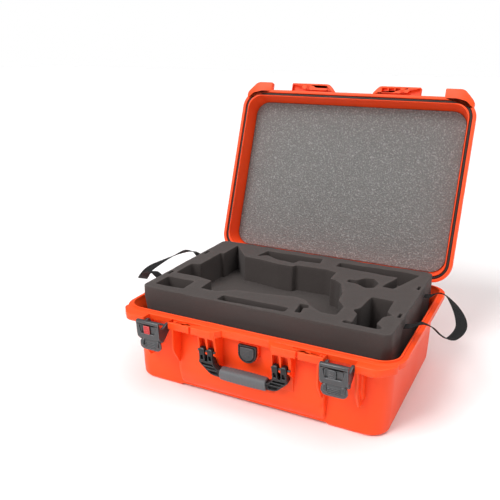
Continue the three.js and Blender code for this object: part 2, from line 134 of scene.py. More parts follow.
def rounded_rect(hx, hy, r, x=0.0, y=0.0, corner=12, gap=9.0):
    """A rounded rectangle's outline, anticlockwise: quarter circles joined by evenly divided straights."""
    quarter = np.linspace(0, np.pi / 2, corner)
    pieces = []
    for k, (sx, sy) in enumerate(((1, -1), (1, 1), (-1, 1), (-1, -1))):
        turn = quarter + (k - 1) * np.pi / 2
        arc = np.stack([sx * (hx - r) + r * np.cos(turn), sy * (hy - r) + r * np.sin(turn)], 1)
        pieces.append(arc)
    return spaced(np.concatenate(pieces) + (x, y), gap)


def spaced(outline, gap):
    """The same closed outline with its long straights divided into steps of at most gap."""
    ahead = np.roll(outline, -1, 0)
    count = np.maximum(1, np.ceil(np.linalg.norm(ahead - outline, axis=1) / gap)).astype(int)
    which = np.repeat(np.arange(len(outline)), count)
    share = (np.arange(count.sum()) - np.repeat(np.cumsum(count) - count, count)) / np.repeat(count, count)
    return outline[which] + (ahead - outline)[which] * share[:, None]


def normals_of(outline):
    """Outward normals of a closed anticlockwise outline, lengthened at corners so that an offset keeps its width."""
    fore = np.roll(outline, -1, 0) - outline
    fore /= np.linalg.norm(fore, axis=1, keepdims=True)
    side = np.stack([fore[:, 1], -fore[:, 0]], 1)
    total = side + np.roll(side, 1, 0)
    square = np.sum(total**2, 1, keepdims=True)
    return 2 * total / np.maximum(square, 0.9)


def anticlockwise(outline):
    """The outline turned so that its shoelace area is positive."""
    x, y = outline[:, 0], outline[:, 1]
    area = np.sum(x * np.roll(y, -1) - np.roll(x, -1) * y)
    return outline if area > 0 else outline[::-1]


def inside(points, outline):
    """Whether each point is in a closed outline, by counting the edges that a ray along +X crosses."""
    a, b = outline[:, None], np.roll(outline, -1, 0)[:, None]
    crosses = (a[..., 1] > points[:, 1]) != (b[..., 1] > points[:, 1])
    rise = np.where(np.abs(b[..., 1] - a[..., 1]) < 1e-12, 1e-12, b[..., 1] - a[..., 1])
    at = a[..., 0] + (points[:, 1] - a[..., 1]) / rise * (b[..., 0] - a[..., 0])
    return (np.sum(crosses & (points[:, 0] < at), 0) % 2) == 1


def filled(outer, holes, gap=None):
    """Triangles over an outline with holes, with a staggered lattice of inner points where gap is given."""
    loops = [outer, *holes]
    points = np.concatenate(loops)
    edges, start = [], 0
    for loop in loops:
        k = np.arange(len(loop))
        edges.append(np.stack([start + k, start + (k + 1) % len(loop)], 1))
        start += len(loop)
    edges = np.concatenate(edges)
    if gap:
        low, high = outer.min(0), outer.max(0)
        x, y = np.meshgrid(np.arange(low[0], high[0], gap), np.arange(low[1], high[1], gap * 0.87))
        x = x + (np.arange(len(x)) % 2 * gap / 2)[:, None]
        lattice = np.stack([x.ravel(), y.ravel()], 1)
        ok = inside(lattice, outer)
        for hole in holes:
            ok &= ~inside(lattice, hole)
        lattice = lattice[ok]
        near = np.full(len(lattice), 1e9)
        for loop in loops:
            near = np.minimum(near, np.linalg.norm(lattice[:, None] - loop[None], axis=2).min(1))
        points = np.concatenate([points, lattice[near > gap * 0.45]])
    out, _, tris, source, _, _ = delaunay_2d_cdt(points.tolist(), edges.tolist(), [], 0, 1e-7)
    first = np.array([s[0] if s else -1 for s in source])
    tris = np.array(tris)
    middle = np.array([(v.x, v.y) for v in out])[tris].mean(1)
    keep = inside(middle, outer)
    for hole in holes:
        keep &= ~inside(middle, hole)
    return points, first[tris[keep]]


AXES = {"xy": (0, 1, 2), "yz": (2, 0, 1), "xz": (0, 2, 1)}  # which of plan, plan and depth is x, y and z


def plate(outline, low, high, holes=(), bevel=0.8, plane="xy", steps=3, gap=None, lift=None):
    """A flat plate: an outline with holes carried from low to high, its edges rounded by quarter circles of
    radius bevel, (low, high) or one value. gap divides the faces, and lift moves them as a function of the plan."""
    b_low, b_high = (bevel, bevel) if np.isscalar(bevel) else bevel
    loops = [anticlockwise(np.asarray(outline, float))]
    loops += [anticlockwise(np.asarray(h, float)) for h in holes]
    turn = np.linspace(0, np.pi / 2, steps + 1)
    inset = np.concatenate([b_low * (1 - np.sin(turn)), b_high * (1 - np.sin(turn))[::-1]])
    height = np.concatenate([low + b_low * (1 - np.cos(turn)), (high - b_high * (1 - np.cos(turn)))[::-1]])
    mark = np.concatenate([np.sin(2 * turn), np.sin(2 * turn)[::-1]])
    if b_low <= 0:
        inset, height, mark = inset[steps:], height[steps:], mark[steps:]
    if b_high <= 0:
        inset, height, mark = inset[: -steps], height[: -steps], mark[: -steps]
    verts, faces, edge, rims, start = [], [], [], [[], []], 0
    for k, loop in enumerate(loops):
        sign = 1 if k == 0 else -1
        plan = loop[None] - sign * inset[:, None, None] * normals_of(loop)[None]
        tall = np.broadcast_to(height[:, None, None], (*plan.shape[:2], 1))
        verts.append(np.concatenate([plan, tall], 2).reshape(-1, 3))
        edge.append(np.repeat(mark, len(loop)))
        quads = grid_faces(len(height), len(loop)) + start
        faces.append(quads if k == 0 else quads[:, ::-1])
        rims[0].append(np.arange(len(loop)) + start)
        rims[1].append(np.arange(len(loop)) + start + (len(height) - 1) * len(loop))
        start += plan.shape[0] * plan.shape[1]
    verts = np.concatenate(verts)
    extra = []
    for top, rim in enumerate(rims):
        own = np.concatenate(rim)
        if not holes and gap is None:
            faces.append(own[None, ::-1] if top == 0 else own[None])
            continue
        flat = [verts[r][:, :2] for r in rim]
        points, tris = filled(flat[0], flat[1:], gap)
        fresh = points[len(own):]
        index = np.concatenate([own, start + np.arange(len(fresh))])
        start += len(fresh)
        level = np.full((len(fresh), 1), verts[own[0], 2])
        extra.append(np.concatenate([fresh, level], 1))
        faces.append(index[tris] if top else index[tris][:, ::-1])
    verts = np.concatenate([verts, *extra])
    edge = np.concatenate([*edge, np.zeros(len(verts) - sum(len(e) for e in edge))])
    if lift is not None:
        verts = lift(verts)
    return Part(verts[:, AXES[plane]], faces, edge).outward()


def slab(outline, low, high, cut=1.5, bevel=0.8, plane="yz", steps=3):
    """A plate whose outline has its own corners eased first."""
    return plate(eased(outline, cut, steps)[0], low, high, bevel=bevel, plane=plane)


HALF_COLUMNS = [20, 40, 60, 80, 100, 115, 128.1, 128.8, 136.3, 137, 149.5, 151, 153, 165, 177, 189.1, 189.8, 197.2, 197.9]
COLUMNS_X = np.concatenate([-np.array(HALF_COLUMNS)[::-1], [0], HALF_COLUMNS])  # fixed places on the long straights
COLUMNS_Y = np.linspace(-112, 112, 15)


def ring_frame(corner=15):
    """The grid's columns round a rounded rectangle: fixed places on the straights, angles on the corners."""
    rows = []
    arc = np.linspace(0, np.pi / 2, corner)
    blank = np.zeros_like
    for k, columns in enumerate((COLUMNS_X, COLUMNS_Y, -COLUMNS_X, -COLUMNS_Y)):
        turn = (k - 1) * np.pi / 2
        c, s = round(math.cos(turn)), round(math.sin(turn))
        one = np.ones_like(columns)
        on_x, on_y = (columns, blank(columns)) if k % 2 == 0 else (blank(columns), columns)
        rows.append(np.stack([on_x, c * one, c * one, on_y, s * one, s * one]))
        c2, s2 = (1, -1) if k == 0 else (1, 1) if k == 1 else (-1, 1) if k == 2 else (-1, -1)
        a = arc + turn
        one = np.ones_like(a)
        rows.append(np.stack([0 * a, c2 * one, np.cos(a), 0 * a, s2 * one, np.sin(a)]))
    return np.concatenate(rows, 1), [r.shape[1] for r in rows]


def shell(levels, cut, corner=15, steps=4):
    """A tub or lid as one closed surface: rounded rectangles (half width, half depth, corner radius, height)
    carried along a section whose corners are eased, capped by strips that join the front and back columns."""
    line, weight = eased(levels, cut, steps, closed=False)
    (fx, gx, cx, fy, gy, sy), sizes = ring_frame(corner)
    hx, hy, r, z = (line[:, k, None] for k in range(4))
    x = fx + gx * (hx - r) + cx * r
    y = fy + gy * (hy - r) + sy * r
    verts = np.stack([x, y, np.broadcast_to(z, x.shape)], 2)
    rows, cols = x.shape
    faces = [grid_faces(rows, cols)]
    n = sizes[0]
    back = sum(sizes[:4])
    k = np.arange(n - 1)
    for base, flip in ((0, False), ((rows - 1) * cols, True)):
        strips = np.stack([k, k + 1, back + n - 2 - k, back + n - 1 - k], 1) + base
        right = np.concatenate([np.arange(n - 1, back + 1)]) + base
        left = np.concatenate([np.arange(back + n - 1, cols), [0]]) + base
        for f in (strips, right[None], left[None]):
            faces.append(f[:, ::-1] if not flip else f)
    return Part(verts.reshape(-1, 3), faces, np.repeat(weight, cols)).outward()


def sweep(profile, path, across, closed=False, run=None):
    """A closed profile carried along a path: its first axis follows across, made square to the path, and its
    second is the cross product of the path's direction and the first. profile is one outline, or one per point."""
    path = np.asarray(path, float)
    if closed:
        ahead = np.roll(path, -1, 0) - np.roll(path, 1, 0)
    else:
        ahead = np.gradient(path, axis=0)
    ahead /= np.linalg.norm(ahead, axis=1, keepdims=True)
    first = np.broadcast_to(np.asarray(across, float), path.shape)
    first = first - np.sum(first * ahead, 1, keepdims=True) * ahead
    first /= np.linalg.norm(first, axis=1, keepdims=True)
    second = np.cross(ahead, first)
    shape = np.broadcast_to(profile, (len(path), *np.asarray(profile).shape[-2:]))
    verts = path[:, None] + shape[..., :1] * first[:, None] + shape[..., 1:] * second[:, None]
    cols = shape.shape[1]
    faces = [grid_faces(len(path), cols, wrap_rows=closed)]
    if not closed:
        faces += [np.arange(cols)[None, ::-1], np.arange(cols)[None] + (len(path) - 1) * cols]
    return Part(verts, faces, run=run).outward()


def oval(a, b, power=2.0, count=32):
    """A superellipse's outline, from two half sizes."""
    t = np.linspace(0, 2 * np.pi, count, endpoint=False)
    c, s = np.cos(t), np.sin(t)
    return np.stack([a * np.sign(c) * np.abs(c) ** (2 / power), b * np.sign(s) * np.abs(s) ** (2 / power)], 1)


def disc(radius, x, y, count=28):
    """A circle's outline about a place."""
    return oval(radius, radius, 2.0, count) + (x, y)


def rod(radius, x, y, z, count=20, chamfer=0.5, head=0.0):
    """A pin across the case from one x to another: circles carried along its axis with chamfered ends. head is not
    used."""
    low, high = sorted(x)
    at = np.array([low, low + chamfer, high - chamfer, high])
    size = np.array([radius - chamfer, radius, radius, radius - chamfer])
    profile = disc(1.0, 0, 0, count)[None] * size[:, None, None]
    path = np.stack([at, np.full(4, y), np.full(4, z)], 1)
    part = sweep(profile, path, (0, 1, 0))
    part.edge = np.repeat([1, 0.6, 0.6, 1], count).astype(float)
    return [part]


def span(side, a, b):
    """a and b on one side of the middle, lower first."""
    return (a, b) if side > 0 else (-b, -a)


def mirror(points, side):
    """Points of a plan with their X turned to one side of the middle."""
    return np.asarray(points, float) * (side, 1)


def ripple(p, scale, seed):
    """A smooth uneven field from -1 to 1: seven plane waves of mixed directions and phases added together."""
    rng = np.random.default_rng(seed)
    waves = rng.normal(size=(7, 3)) * 2 * np.pi / scale
    phase = rng.uniform(0, 2 * np.pi, 7)
    return np.sin(p @ waves.T + phase).sum(1) / 4


def turned(p, degrees, y, z):
    """Points turned about an axis along X through (y, z)."""
    a = math.radians(degrees)
    dy, dz = p[:, 1] - y, p[:, 2] - z
    return np.stack([p[:, 0], y + dy * math.cos(a) - dz * math.sin(a), z + dy * math.sin(a) + dz * math.cos(a)], 1)


def opened(p):
    """A lid point drawn closed, turned to where the lid stands open."""
    return turned(p, -LID_OPEN, HINGE_Y, HINGE_Z)


def latched(side):
    """A claw point drawn hooked about its own pin, taken to its parked place on one side."""

    def place(p):
        return turned(p, LATCH_SWING, 0, 0) + (side * LATCH_X, LATCH_Y, LATCH_Z)

    return place


def lifted(side):
    """A lever point drawn hanging about its pin, taken to its place on the parked claw."""

    def place(p):
        pin = turned(np.array([[0.0, LEVER_Y, LEVER_Z]]), LATCH_SWING, 0, 0)
        return p + pin + (side * LATCH_X, LATCH_Y, LATCH_Z)

    return place


def hung(p):
    """A handle point drawn plumb about its pivot, leaned into its pocket."""
    return turned(p, HANDLE_TILT, 0, 0) + (0, HANDLE_Y, HANDLE_Z)


# ---- putting parts into pieces ------------------------------------------------------------------
def put(name, parts, material, body, nodes=(), smooth=38.0):
    """Joins parts into one piece in metres, with its attributes, shading, material, body and CAD nodes."""
    start, verts, loops, totals = 0, [], [], []
    for part in parts:
        own, count = part.loops()
        verts.append(part.verts * MM)
        loops.append(own + start)
        totals.append(count)
        start += len(part.verts)
    verts, loops, totals = (np.concatenate(a) for a in (verts, loops, totals))
    mesh = bpy.data.meshes.new(name)
    mesh.vertices.add(len(verts))
    mesh.vertices.foreach_set("co", verts.astype(np.float32).ravel())
    mesh.loops.add(len(loops))
    mesh.loops.foreach_set("vertex_index", loops.astype(np.int32))
    mesh.polygons.add(len(totals))
    mesh.polygons.foreach_set("loop_start", (np.cumsum(totals) - totals).astype(np.int32))
    mesh.polygons.foreach_set("use_smooth", np.ones(len(totals), bool))
    mesh.update(calc_edges=True)
    mesh.validate()
    mesh.set_sharp_from_angle(angle=math.radians(smooth))
    # edge: how much of a rounded edge each point is; the materials pale these points as a painted highlight
    edge = mesh.attributes.new("edge", "FLOAT", "POINT")
    edge.data.foreach_set("value", np.concatenate([p.edge for p in parts]).astype(np.float32))
    run = mesh.attributes.new("run", "FLOAT_VECTOR", "POINT")
    run.data.foreach_set("vector", np.concatenate([p.run for p in parts]).astype(np.float32).ravel())
    mesh.materials.append(material)
    piece = bpy.data.objects.new(name, mesh)
    bpy.context.scene.collection.objects.link(piece)
    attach(piece, body)
    if nodes:
        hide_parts(*nodes)
    return piece


# ---- shader node groups -----------------------------------------------------------------------
class Net:
    """Short names for making and joining nodes in one tree."""

    def __init__(self, tree):
        self.tree = tree

    def add(self, kind, inputs=(), **settings):
        """A new node with its settings and inputs filled."""
        node = self.tree.nodes.new(kind)
        for key, value in settings.items():
            setattr(node, key, value)
        for key, value in dict(inputs).items():
            self.set(node.inputs[key], value)
        return node

    def set(self, socket, value):
        """Joins a socket to an input, or writes a constant into it."""
        if isinstance(value, bpy.types.NodeSocket):
            self.tree.links.new(value, socket)
        else:
            socket.default_value = value

    def math(self, operation, a, b=0.5, clamp=False):
        """a and b combined by a math node."""
        return self.add("ShaderNodeMath", {0: a, 1: b}, operation=operation, use_clamp=clamp).outputs[0]

    def mix(self, share, a, b, blend="MIX"):
        """Colours a and b mixed by share."""
        node = self.add("ShaderNodeMix", data_type="RGBA", blend_type=blend)
        for key, value in (("Factor_Float", share), ("A_Color", a), ("B_Color", b)):
            self.set(next(s for s in node.inputs if s.identifier == key), value)
        return next(s for s in node.outputs if s.identifier == "Result_Color")

    def ramp(self, value, low, high):
        """value carried from low..high to 0..1, held at both ends."""
        node = self.add("ShaderNodeMapRange", {"Value": value, "From Min": low, "From Max": high})
        return node.outputs["Result"]


def group(name, inputs, outputs, fill):
    """A node group with named sockets; fill(net, sockets) returns a dict of what goes to each output."""
    if name in bpy.data.node_groups:
        return bpy.data.node_groups[name]
    tree = bpy.data.node_groups.new(name, "ShaderNodeTree")
    for label, (kind, value) in inputs.items():
        socket = tree.interface.new_socket(label, in_out="INPUT", socket_type=kind)
        if value is not None:
            socket.default_value = value
    for label, kind in outputs.items():
        tree.interface.new_socket(label, in_out="OUTPUT", socket_type=kind)
    net = Net(tree)
    source = tree.nodes.new("NodeGroupInput")
    sink = tree.nodes.new("NodeGroupOutput")
    for label, value in fill(net, source.outputs).items():
        net.set(sink.inputs[label], value)
    return tree


FLOAT, COLOUR, VECTOR = "NodeSocketFloat", "NodeSocketColor", "NodeSocketVector"


def moulded_grain():
    """Fine spark-eroded texture of a mould: one noise for height, and that noise with a slow drift for gloss."""

    def fill(net, given):
        fine = net.add("ShaderNodeTexNoise", {"Vector": given["Vector"], "Scale": given["Scale"], "Detail": 3.0})
        slow = net.add("ShaderNodeTexNoise", {"Vector": given["Vector"], "Scale": 9.0, "Detail": 2.0})
        swing = net.math("MULTIPLY", net.math("SUBTRACT", slow.outputs[0], 0.5), 0.22)
        rough = net.math("ADD", given["Roughness"], swing)
        rough = net.math("ADD", rough, net.math("MULTIPLY", net.math("SUBTRACT", fine.outputs[0], 0.5), 0.12), True)
        return {"Height": fine.outputs[0], "Roughness": rough}

    inputs = {"Vector": (VECTOR, None), "Scale": (FLOAT, 900.0), "Roughness": (FLOAT, 0.45)}
    return group("Moulded Grain", inputs, {"Height": FLOAT, "Roughness": FLOAT}, fill)


def edge_and_drift():
    """Colour that drifts slowly over a surface in random patches, and pales along its rounded edges as a painted
    highlight broken up by noise.
    """

    def fill(net, given):
        drift = net.add("ShaderNodeTexNoise", {"Vector": given["Vector"], "Scale": 5.0, "Detail": 3.0})
        deep = net.mix(0.5, given["Colour"], given["Shade"])
        share = net.math("MULTIPLY", net.ramp(drift.outputs[0], 0.35, 0.75), given["Drift"])
        colour = net.mix(share, given["Colour"], deep)
        # painted highlight: the rounded edges, marked by the edge attribute, pale towards Pale where a fine noise lets
        # them
        mark = net.add("ShaderNodeAttribute", attribute_name="edge").outputs["Fac"]
        broken = net.add("ShaderNodeTexNoise", {"Vector": given["Vector"], "Scale": 70.0, "Detail": 4.0})
        highlight_share = net.math("MULTIPLY", mark, net.ramp(broken.outputs[0], 0.3, 0.62))
        highlight_share = net.math("MULTIPLY", highlight_share, given["Wear"], True)
        return {"Colour": net.mix(highlight_share, colour, given["Pale"])}

    inputs = {
        "Vector": (VECTOR, None),
        "Colour": (COLOUR, (0.8, 0.2, 0.1, 1)),
        "Shade": (COLOUR, (0.5, 0.1, 0.05, 1)),
        "Pale": (COLOUR, (1, 0.6, 0.4, 1)),
        "Drift": (FLOAT, 0.3),
        "Wear": (FLOAT, 0.3),
    }
    return group("Edge And Drift", inputs, {"Colour": COLOUR}, fill)


def scuffs():
    """Short fine scratches: a stretched noise, cut to thin lines and broken up by a slower one."""

    def fill(net, given):
        stretch = net.add("ShaderNodeMapping", {"Vector": given["Vector"], "Rotation": (0.3, 0.7, 0.5)})
        net.set(stretch.inputs["Scale"], (30.0, 420.0, 420.0))
        lines = net.add("ShaderNodeTexNoise", {"Vector": stretch.outputs[0], "Scale": 1.0, "Detail": 2.0})
        where = net.add("ShaderNodeTexNoise", {"Vector": given["Vector"], "Scale": 14.0, "Detail": 2.0})
        thin, patches = net.ramp(lines.outputs[0], 0.66, 0.72), net.ramp(where.outputs[0], 0.52, 0.66)
        mask = net.math("MULTIPLY", thin, patches, True)
        return {"Mask": net.math("MULTIPLY", mask, given["Amount"], True)}

    return group("Scuffs", {"Vector": (VECTOR, None), "Amount": (FLOAT, 0.3)}, {"Mask": FLOAT}, fill)


def foam_cells():
    """Cut or pebbled foam: cells of two sizes for height, and a speckle where cell edges catch the light."""

    def fill(net, given):
        half = net.math("MULTIPLY", given["Scale"], 0.45)
        warp = net.add("ShaderNodeTexNoise", {"Vector": given["Vector"], "Scale": half, "Detail": 2.0})
        reach = (0.003, 0.003, 0.003)
        bent = net.add("ShaderNodeVectorMath", {0: warp.outputs["Color"], 1: reach}, operation="MULTIPLY")
        at = net.add("ShaderNodeVectorMath", {0: given["Vector"], 1: bent.outputs[0]}, operation="ADD")
        cells = net.add("ShaderNodeTexVoronoi", {"Vector": at.outputs[0], "Scale": given["Scale"]})
        fine = net.add("ShaderNodeTexNoise", {"Vector": given["Vector"], "Scale": given["Scale"], "Detail": 5.0})
        height = net.math("ADD", net.math("MULTIPLY", cells.outputs["Distance"], 0.7), fine.outputs[0])
        walls, grains = net.ramp(cells.outputs["Distance"], 0.25, 0.75), net.ramp(fine.outputs[0], 0.42, 0.66)
        speck = net.math("MULTIPLY", walls, grains, True)
        return {"Height": height, "Speckle": speck}

    inputs = {"Vector": (VECTOR, None), "Scale": (FLOAT, 300.0)}
    return group("Foam Cells", inputs, {"Height": FLOAT, "Speckle": FLOAT}, fill)


def webbing_weave():
    """A flat woven band: rows of chevrons along the piece's own coordinates, in metres."""

    def fill(net, given):
        run = net.add("ShaderNodeAttribute", attribute_name="run").outputs["Vector"]
        parts = net.add("ShaderNodeSeparateXYZ", {0: run})
        across = net.math("MULTIPLY", parts.outputs[1], given["Rows"])
        fold = net.math("PINGPONG", across, 1.0)
        along = net.math("ADD", net.math("MULTIPLY", parts.outputs[0], given["Picks"]), fold)
        wave = net.math("ABSOLUTE", net.math("SINE", net.math("MULTIPLY", along, math.pi)))
        rib = net.math("ABSOLUTE", net.math("SINE", net.math("MULTIPLY", across, math.pi)))
        return {"Height": net.math("MULTIPLY", wave, net.math("ADD", rib, 0.4))}

    inputs = {"Rows": (FLOAT, 700.0), "Picks": (FLOAT, 500.0)}
    return group("Webbing Weave", inputs, {"Height": FLOAT}, fill)


# ---- materials ----------------------------------------------------------------------------------
def start_material(name):
    """An empty material with its node helper and shader, or the finished one and None if it is there already."""
    material = bpy.data.materials.get(name)
    if material:
        return material, None, None
    material = bpy.data.materials.new(name)
    material.use_nodes = True
    material.node_tree.nodes.clear()
    net = Net(material.node_tree)
    shader = net.add("ShaderNodeBsdfPrincipled")
    sink = net.add("ShaderNodeOutputMaterial")
    net.set(sink.inputs["Surface"], shader.outputs[0])
    return material, net, shader


def fill_inputs(net, node, **values):
    """Sets or joins a node's inputs by name."""
    for key, value in values.items():
        net.set(node.inputs[key], value)


def tones(net, colour, shade, pale, drift, edge_highlight, where):
    """The node that drifts colour towards the darker tone shade in slow random patches, and pales the rounded edges as
    a painted highlight.
    """
    node = net.add("ShaderNodeGroup", node_tree=edge_and_drift())
    three = {"Colour": (*colour, 1), "Shade": (*shade, 1), "Pale": (*pale, 1)}
    fill_inputs(net, node, Vector=where, Drift=drift, Wear=edge_highlight, **three)
    return node.outputs["Colour"]


def plastic(
    name, colour, shade, pale, rough, grain=900.0, bump=0.12, drift=0.25, edge_highlight=0.3, scratch=0.15, metal=0.0, level=0.5
):
    """Moulded plastic, rubber or metal: drifted colour with the rounded edges paled as a painted highlight, grained
    height and a few scuffs.
    """
    material, net, shader = start_material(name)
    if net is None:
        return material
    where = net.add("ShaderNodeTexCoord").outputs["Object"]
    # tones pales the rounded edges towards pale: a painted highlight, its strength set by the sixth argument
    tint = tones(net, colour, shade, pale, drift, edge_highlight, where)
    skin = net.add("ShaderNodeGroup", node_tree=moulded_grain())
    fill_inputs(net, skin, Vector=where, Scale=grain, Roughness=rough)
    marks = net.add("ShaderNodeGroup", node_tree=scuffs())
    fill_inputs(net, marks, Vector=where, Amount=scratch)
    net.set(shader.inputs["Base Color"], net.mix(marks.outputs["Mask"], tint, (*pale, 1)))
    dulled = net.math("MULTIPLY", marks.outputs["Mask"], 0.3)
    net.set(shader.inputs["Roughness"], net.math("ADD", skin.outputs["Roughness"], dulled, True))
    height = net.math("SUBTRACT", skin.outputs["Height"], marks.outputs["Mask"])
    dent = net.add("ShaderNodeBump", {"Strength": bump, "Distance": 0.0006, "Height": height})
    net.set(shader.inputs["Normal"], dent.outputs[0])
    shader.inputs["Metallic"].default_value = metal
    shader.inputs["Specular IOR Level"].default_value = level
    return material


def foam(name, dark, light, cells, bump, speckle, distance=0.0015):
    """Closed-cell foam: dark foam drifted slowly, with light mixed in as a painted highlight on the cells' speckle and
    along the rounded edges and cut lips.
    """
    material, net, shader = start_material(name)
    if net is None:
        return material
    where = net.add("ShaderNodeTexCoord").outputs["Object"]
    cell = net.add("ShaderNodeGroup", node_tree=foam_cells())
    fill_inputs(net, cell, Vector=where, Scale=cells)
    # 0.35 pales the rounded edges and cut lips towards light: a painted highlight
    tint = tones(net, dark, tuple(0.72 * c for c in dark), light, 0.6, 0.35, where)
    # the speckle mixes in light: a painted highlight where cell edges catch the light
    share = net.math("MULTIPLY", cell.outputs["Speckle"], speckle, True)
    net.set(shader.inputs["Base Color"], net.mix(share, tint, (*light, 1)))
    relief = net.math("MULTIPLY", cell.outputs["Height"], 0.12)
    net.set(shader.inputs["Roughness"], net.math("ADD", relief, 0.72, True))
    dent = net.add("ShaderNodeBump", {"Strength": bump, "Distance": distance, "Height": cell.outputs["Height"]})
    net.set(shader.inputs["Normal"], dent.outputs[0])
    shader.inputs["Sheen Weight"].default_value = 0.05
    shader.inputs["Sheen Roughness"].default_value = 0.6
    shader.inputs["Specular IOR Level"].default_value = 0.5
    return material


def webbing():
    """Black woven strap with a soft sheen."""
    material, net, shader = start_material("Black Webbing")
    if net is None:
        return material
    weave = net.add("ShaderNodeGroup", node_tree=webbing_weave())
    where = net.add("ShaderNodeTexCoord").outputs["Object"]
    lint = net.add("ShaderNodeTexNoise", {"Vector": where, "Scale": 120.0, "Detail": 4.0})
    share = net.math("MULTIPLY", net.math("MULTIPLY", weave.outputs[0], lint.outputs[0]), 0.9, True)
    net.set(shader.inputs["Base Color"], net.mix(share, (0.004, 0.004, 0.0045, 1), (0.022, 0.021, 0.022, 1)))
    net.set(shader.inputs["Roughness"], net.math("SUBTRACT", 0.85, net.math("MULTIPLY", weave.outputs[0], 0.2)))
    dent = net.add("ShaderNodeBump", {"Strength": 0.6, "Distance": 0.0004, "Height": weave.outputs[0]})
    net.set(shader.inputs["Normal"], dent.outputs[0])
    shader.inputs["Specular IOR Level"].default_value = 0.25
    return material


def colours():
    """The colours that a user may change."""
    return bpy.context.scene.case_colours


def scaled(colour, share, lift=0.0):
    """share times a colour plus lift, held to one."""
    return tuple(min(1, share * v + lift) for v in colour)


def shell_plastic():
    """Satin orange of the base and lid, redder in slow random patches and yellower on the rounded edges as a painted
    highlight.
    """
    c = tuple(colours().shell)
    shade = (0.72 * c[0], 0.35 * c[1], 0.4 * c[2])
    # pale: colour of the painted highlight along the rounded edges
    pale = (1.0, min(1, c[1] * 2.6 + 0.02), min(1, c[2] * 3 + 0.02))
    return plastic("Orange Plastic", c, shade, pale, 0.45, grain=1100, bump=0.10, edge_highlight=0.28, scratch=0.06, level=0.3)


def hardware_plastic():
    """Near-black plastic of the handle frame, valve and badge."""
    c = tuple(colours().hardware)
    # scaled(c, 3.5, 0.02) is the colour of a strong painted highlight along the rounded edges
    looks = {"grain": 1500, "bump": 0.18, "drift": 0.5, "edge_highlight": 0.8, "scratch": 0.2, "level": 0.4}
    return plastic("Black Hardware", c, scaled(c, 0.5), scaled(c, 3.5, 0.02), 0.36, **looks)


def latch_plastic():
    """Glossier version of the hardware, lifted paler as a painted reflection, for the claws, levers and right slide."""
    # the hardware's black lifted 3.2 times stands in for reflected light from above: a painted reflection
    c = scaled(colours().hardware, 3.2)
    looks = {"grain": 1300, "bump": 0.15, "drift": 0.4, "edge_highlight": 0.9, "level": 0.8}
    return plastic("Latch Plastic", c, scaled(c, 0.4), scaled(c, 3, 0.05), 0.33, **looks)


def grip_rubber():
    """Mid-grey rubber of the handle's sleeve."""
    c = tuple(colours().grip)
    looks = {"grain": 1800, "bump": 0.3, "drift": 0.4, "edge_highlight": 0.5, "scratch": 0.1}
    return plastic("Grey Grip", c, scaled(c, 0.6), scaled(c, 2.2), 0.55, **looks)


def valve_rubber():
    """A darker cut of the grip's colour, for the valve's cap."""
    c = scaled(colours().grip, 0.4)
    return plastic("Valve Cap", c, scaled(c, 0.6), scaled(c, 3), 0.5, grain=1500, bump=0.2, edge_highlight=0.8)


def red_plastic():
    """Red of the left latch's slide."""
    return plastic("Red Slide", (0.5, 0.012, 0.015), (0.3, 0.004, 0.006), (0.9, 0.25, 0.22), 0.3, edge_highlight=0.6)


def seal_rubber():
    """Brown-black rubber of the gasket and seals."""
    c, shade, pale = (0.016, 0.009, 0.006), (0.006, 0.004, 0.003), (0.06, 0.04, 0.03)
    return plastic("Gasket Rubber", c, shade, pale, 0.6, grain=700, bump=0.3)


def steel():
    """Blackened steel of the pins."""
    c, shade, pale = (0.06, 0.06, 0.065), (0.03, 0.03, 0.035), (0.2, 0.2, 0.21)
    return plastic("Pin Steel", c, shade, pale, 0.5, grain=2400, bump=0.08, metal=1.0, edge_highlight=0.5)


def tray_foam():
    """Dark fine-celled foam of the tray and the layer under it."""
    c = tuple(colours().tray)
    return foam("Tray Foam", c, scaled(c, 1.9, 0.01), 900.0, 0.45, 0.45, 0.0008)


def lid_foam():
    """Grey pebbled foam of the lid, speckled by painted highlights on its cells."""
    c = tuple(colours().lid_foam)
    return foam("Lid Foam", c, scaled(c, 2.0, 0.05), 290.0, 0.9, 0.8, 0.0022)


# ---- shell of the base -----------------------------------------------------------------------------
FOOT_EDGE = (149.5, 153.0)  # where the raised middle of the underside ends and the feet begin
FOOT_STEP = 7.0


def base_tub():
    """The base's wall, rim, tongue and hollow as one section carried round; the underside between the feet is
    lifted, and the rim is set back behind the lid's hinge barrels."""
    levels = [
        (228, 156, 28, 0), (249.6, 175.6, 34, 0), (254, 180, 34, 5), (255.2, 181, 34, 28), (258, 182.5, 36, 126),
        (262.5, 187.5, 44, 136), (275.5, 199.5, 44, 139.5), (277, 201, 44, 141), (277, 201, 44, 142.6),
        (277, 201, 44, 143.2), (277, 201, 44, 152), (268.8, 192.8, 35.8, 152), (268.2, 192.2, 35.2, 155.5),
        (265.6, 189.6, 32.6, 155.5), (264.6, 188.6, 32, 150), (254.3, 178.8, 32, 130), (248.5, 172.5, 32, 22),
        (242, 166, 32, 14), (232, 156, 30, 14),
    ]
    cut = [0, 2.4, 2.8, 8, 10, 9, 4, 1, 0.1, 0.1, 1.7, 0.5, 0.9, 0.9, 3, 8, 6, 5, 0]
    tub = shell(levels, cut)

    def shaped(p):
        x, y, z = p.T.copy()
        share = np.clip((FOOT_EDGE[1] - np.abs(x)) / (FOOT_EDGE[1] - FOOT_EDGE[0]), 0, 1)
        outer = (z < FOOT_STEP) & (np.abs(y) < 200)
        z = np.where(outer, np.maximum(z, FOOT_STEP * share), z)
        notch = (np.abs(x) > 136.9) & (np.abs(x) < 189.2) & (y > 196.4) & (z > 142.9)
        return np.stack([x, np.where(notch, 196.4, y), z], 1)

    return tub.moved(shaped)


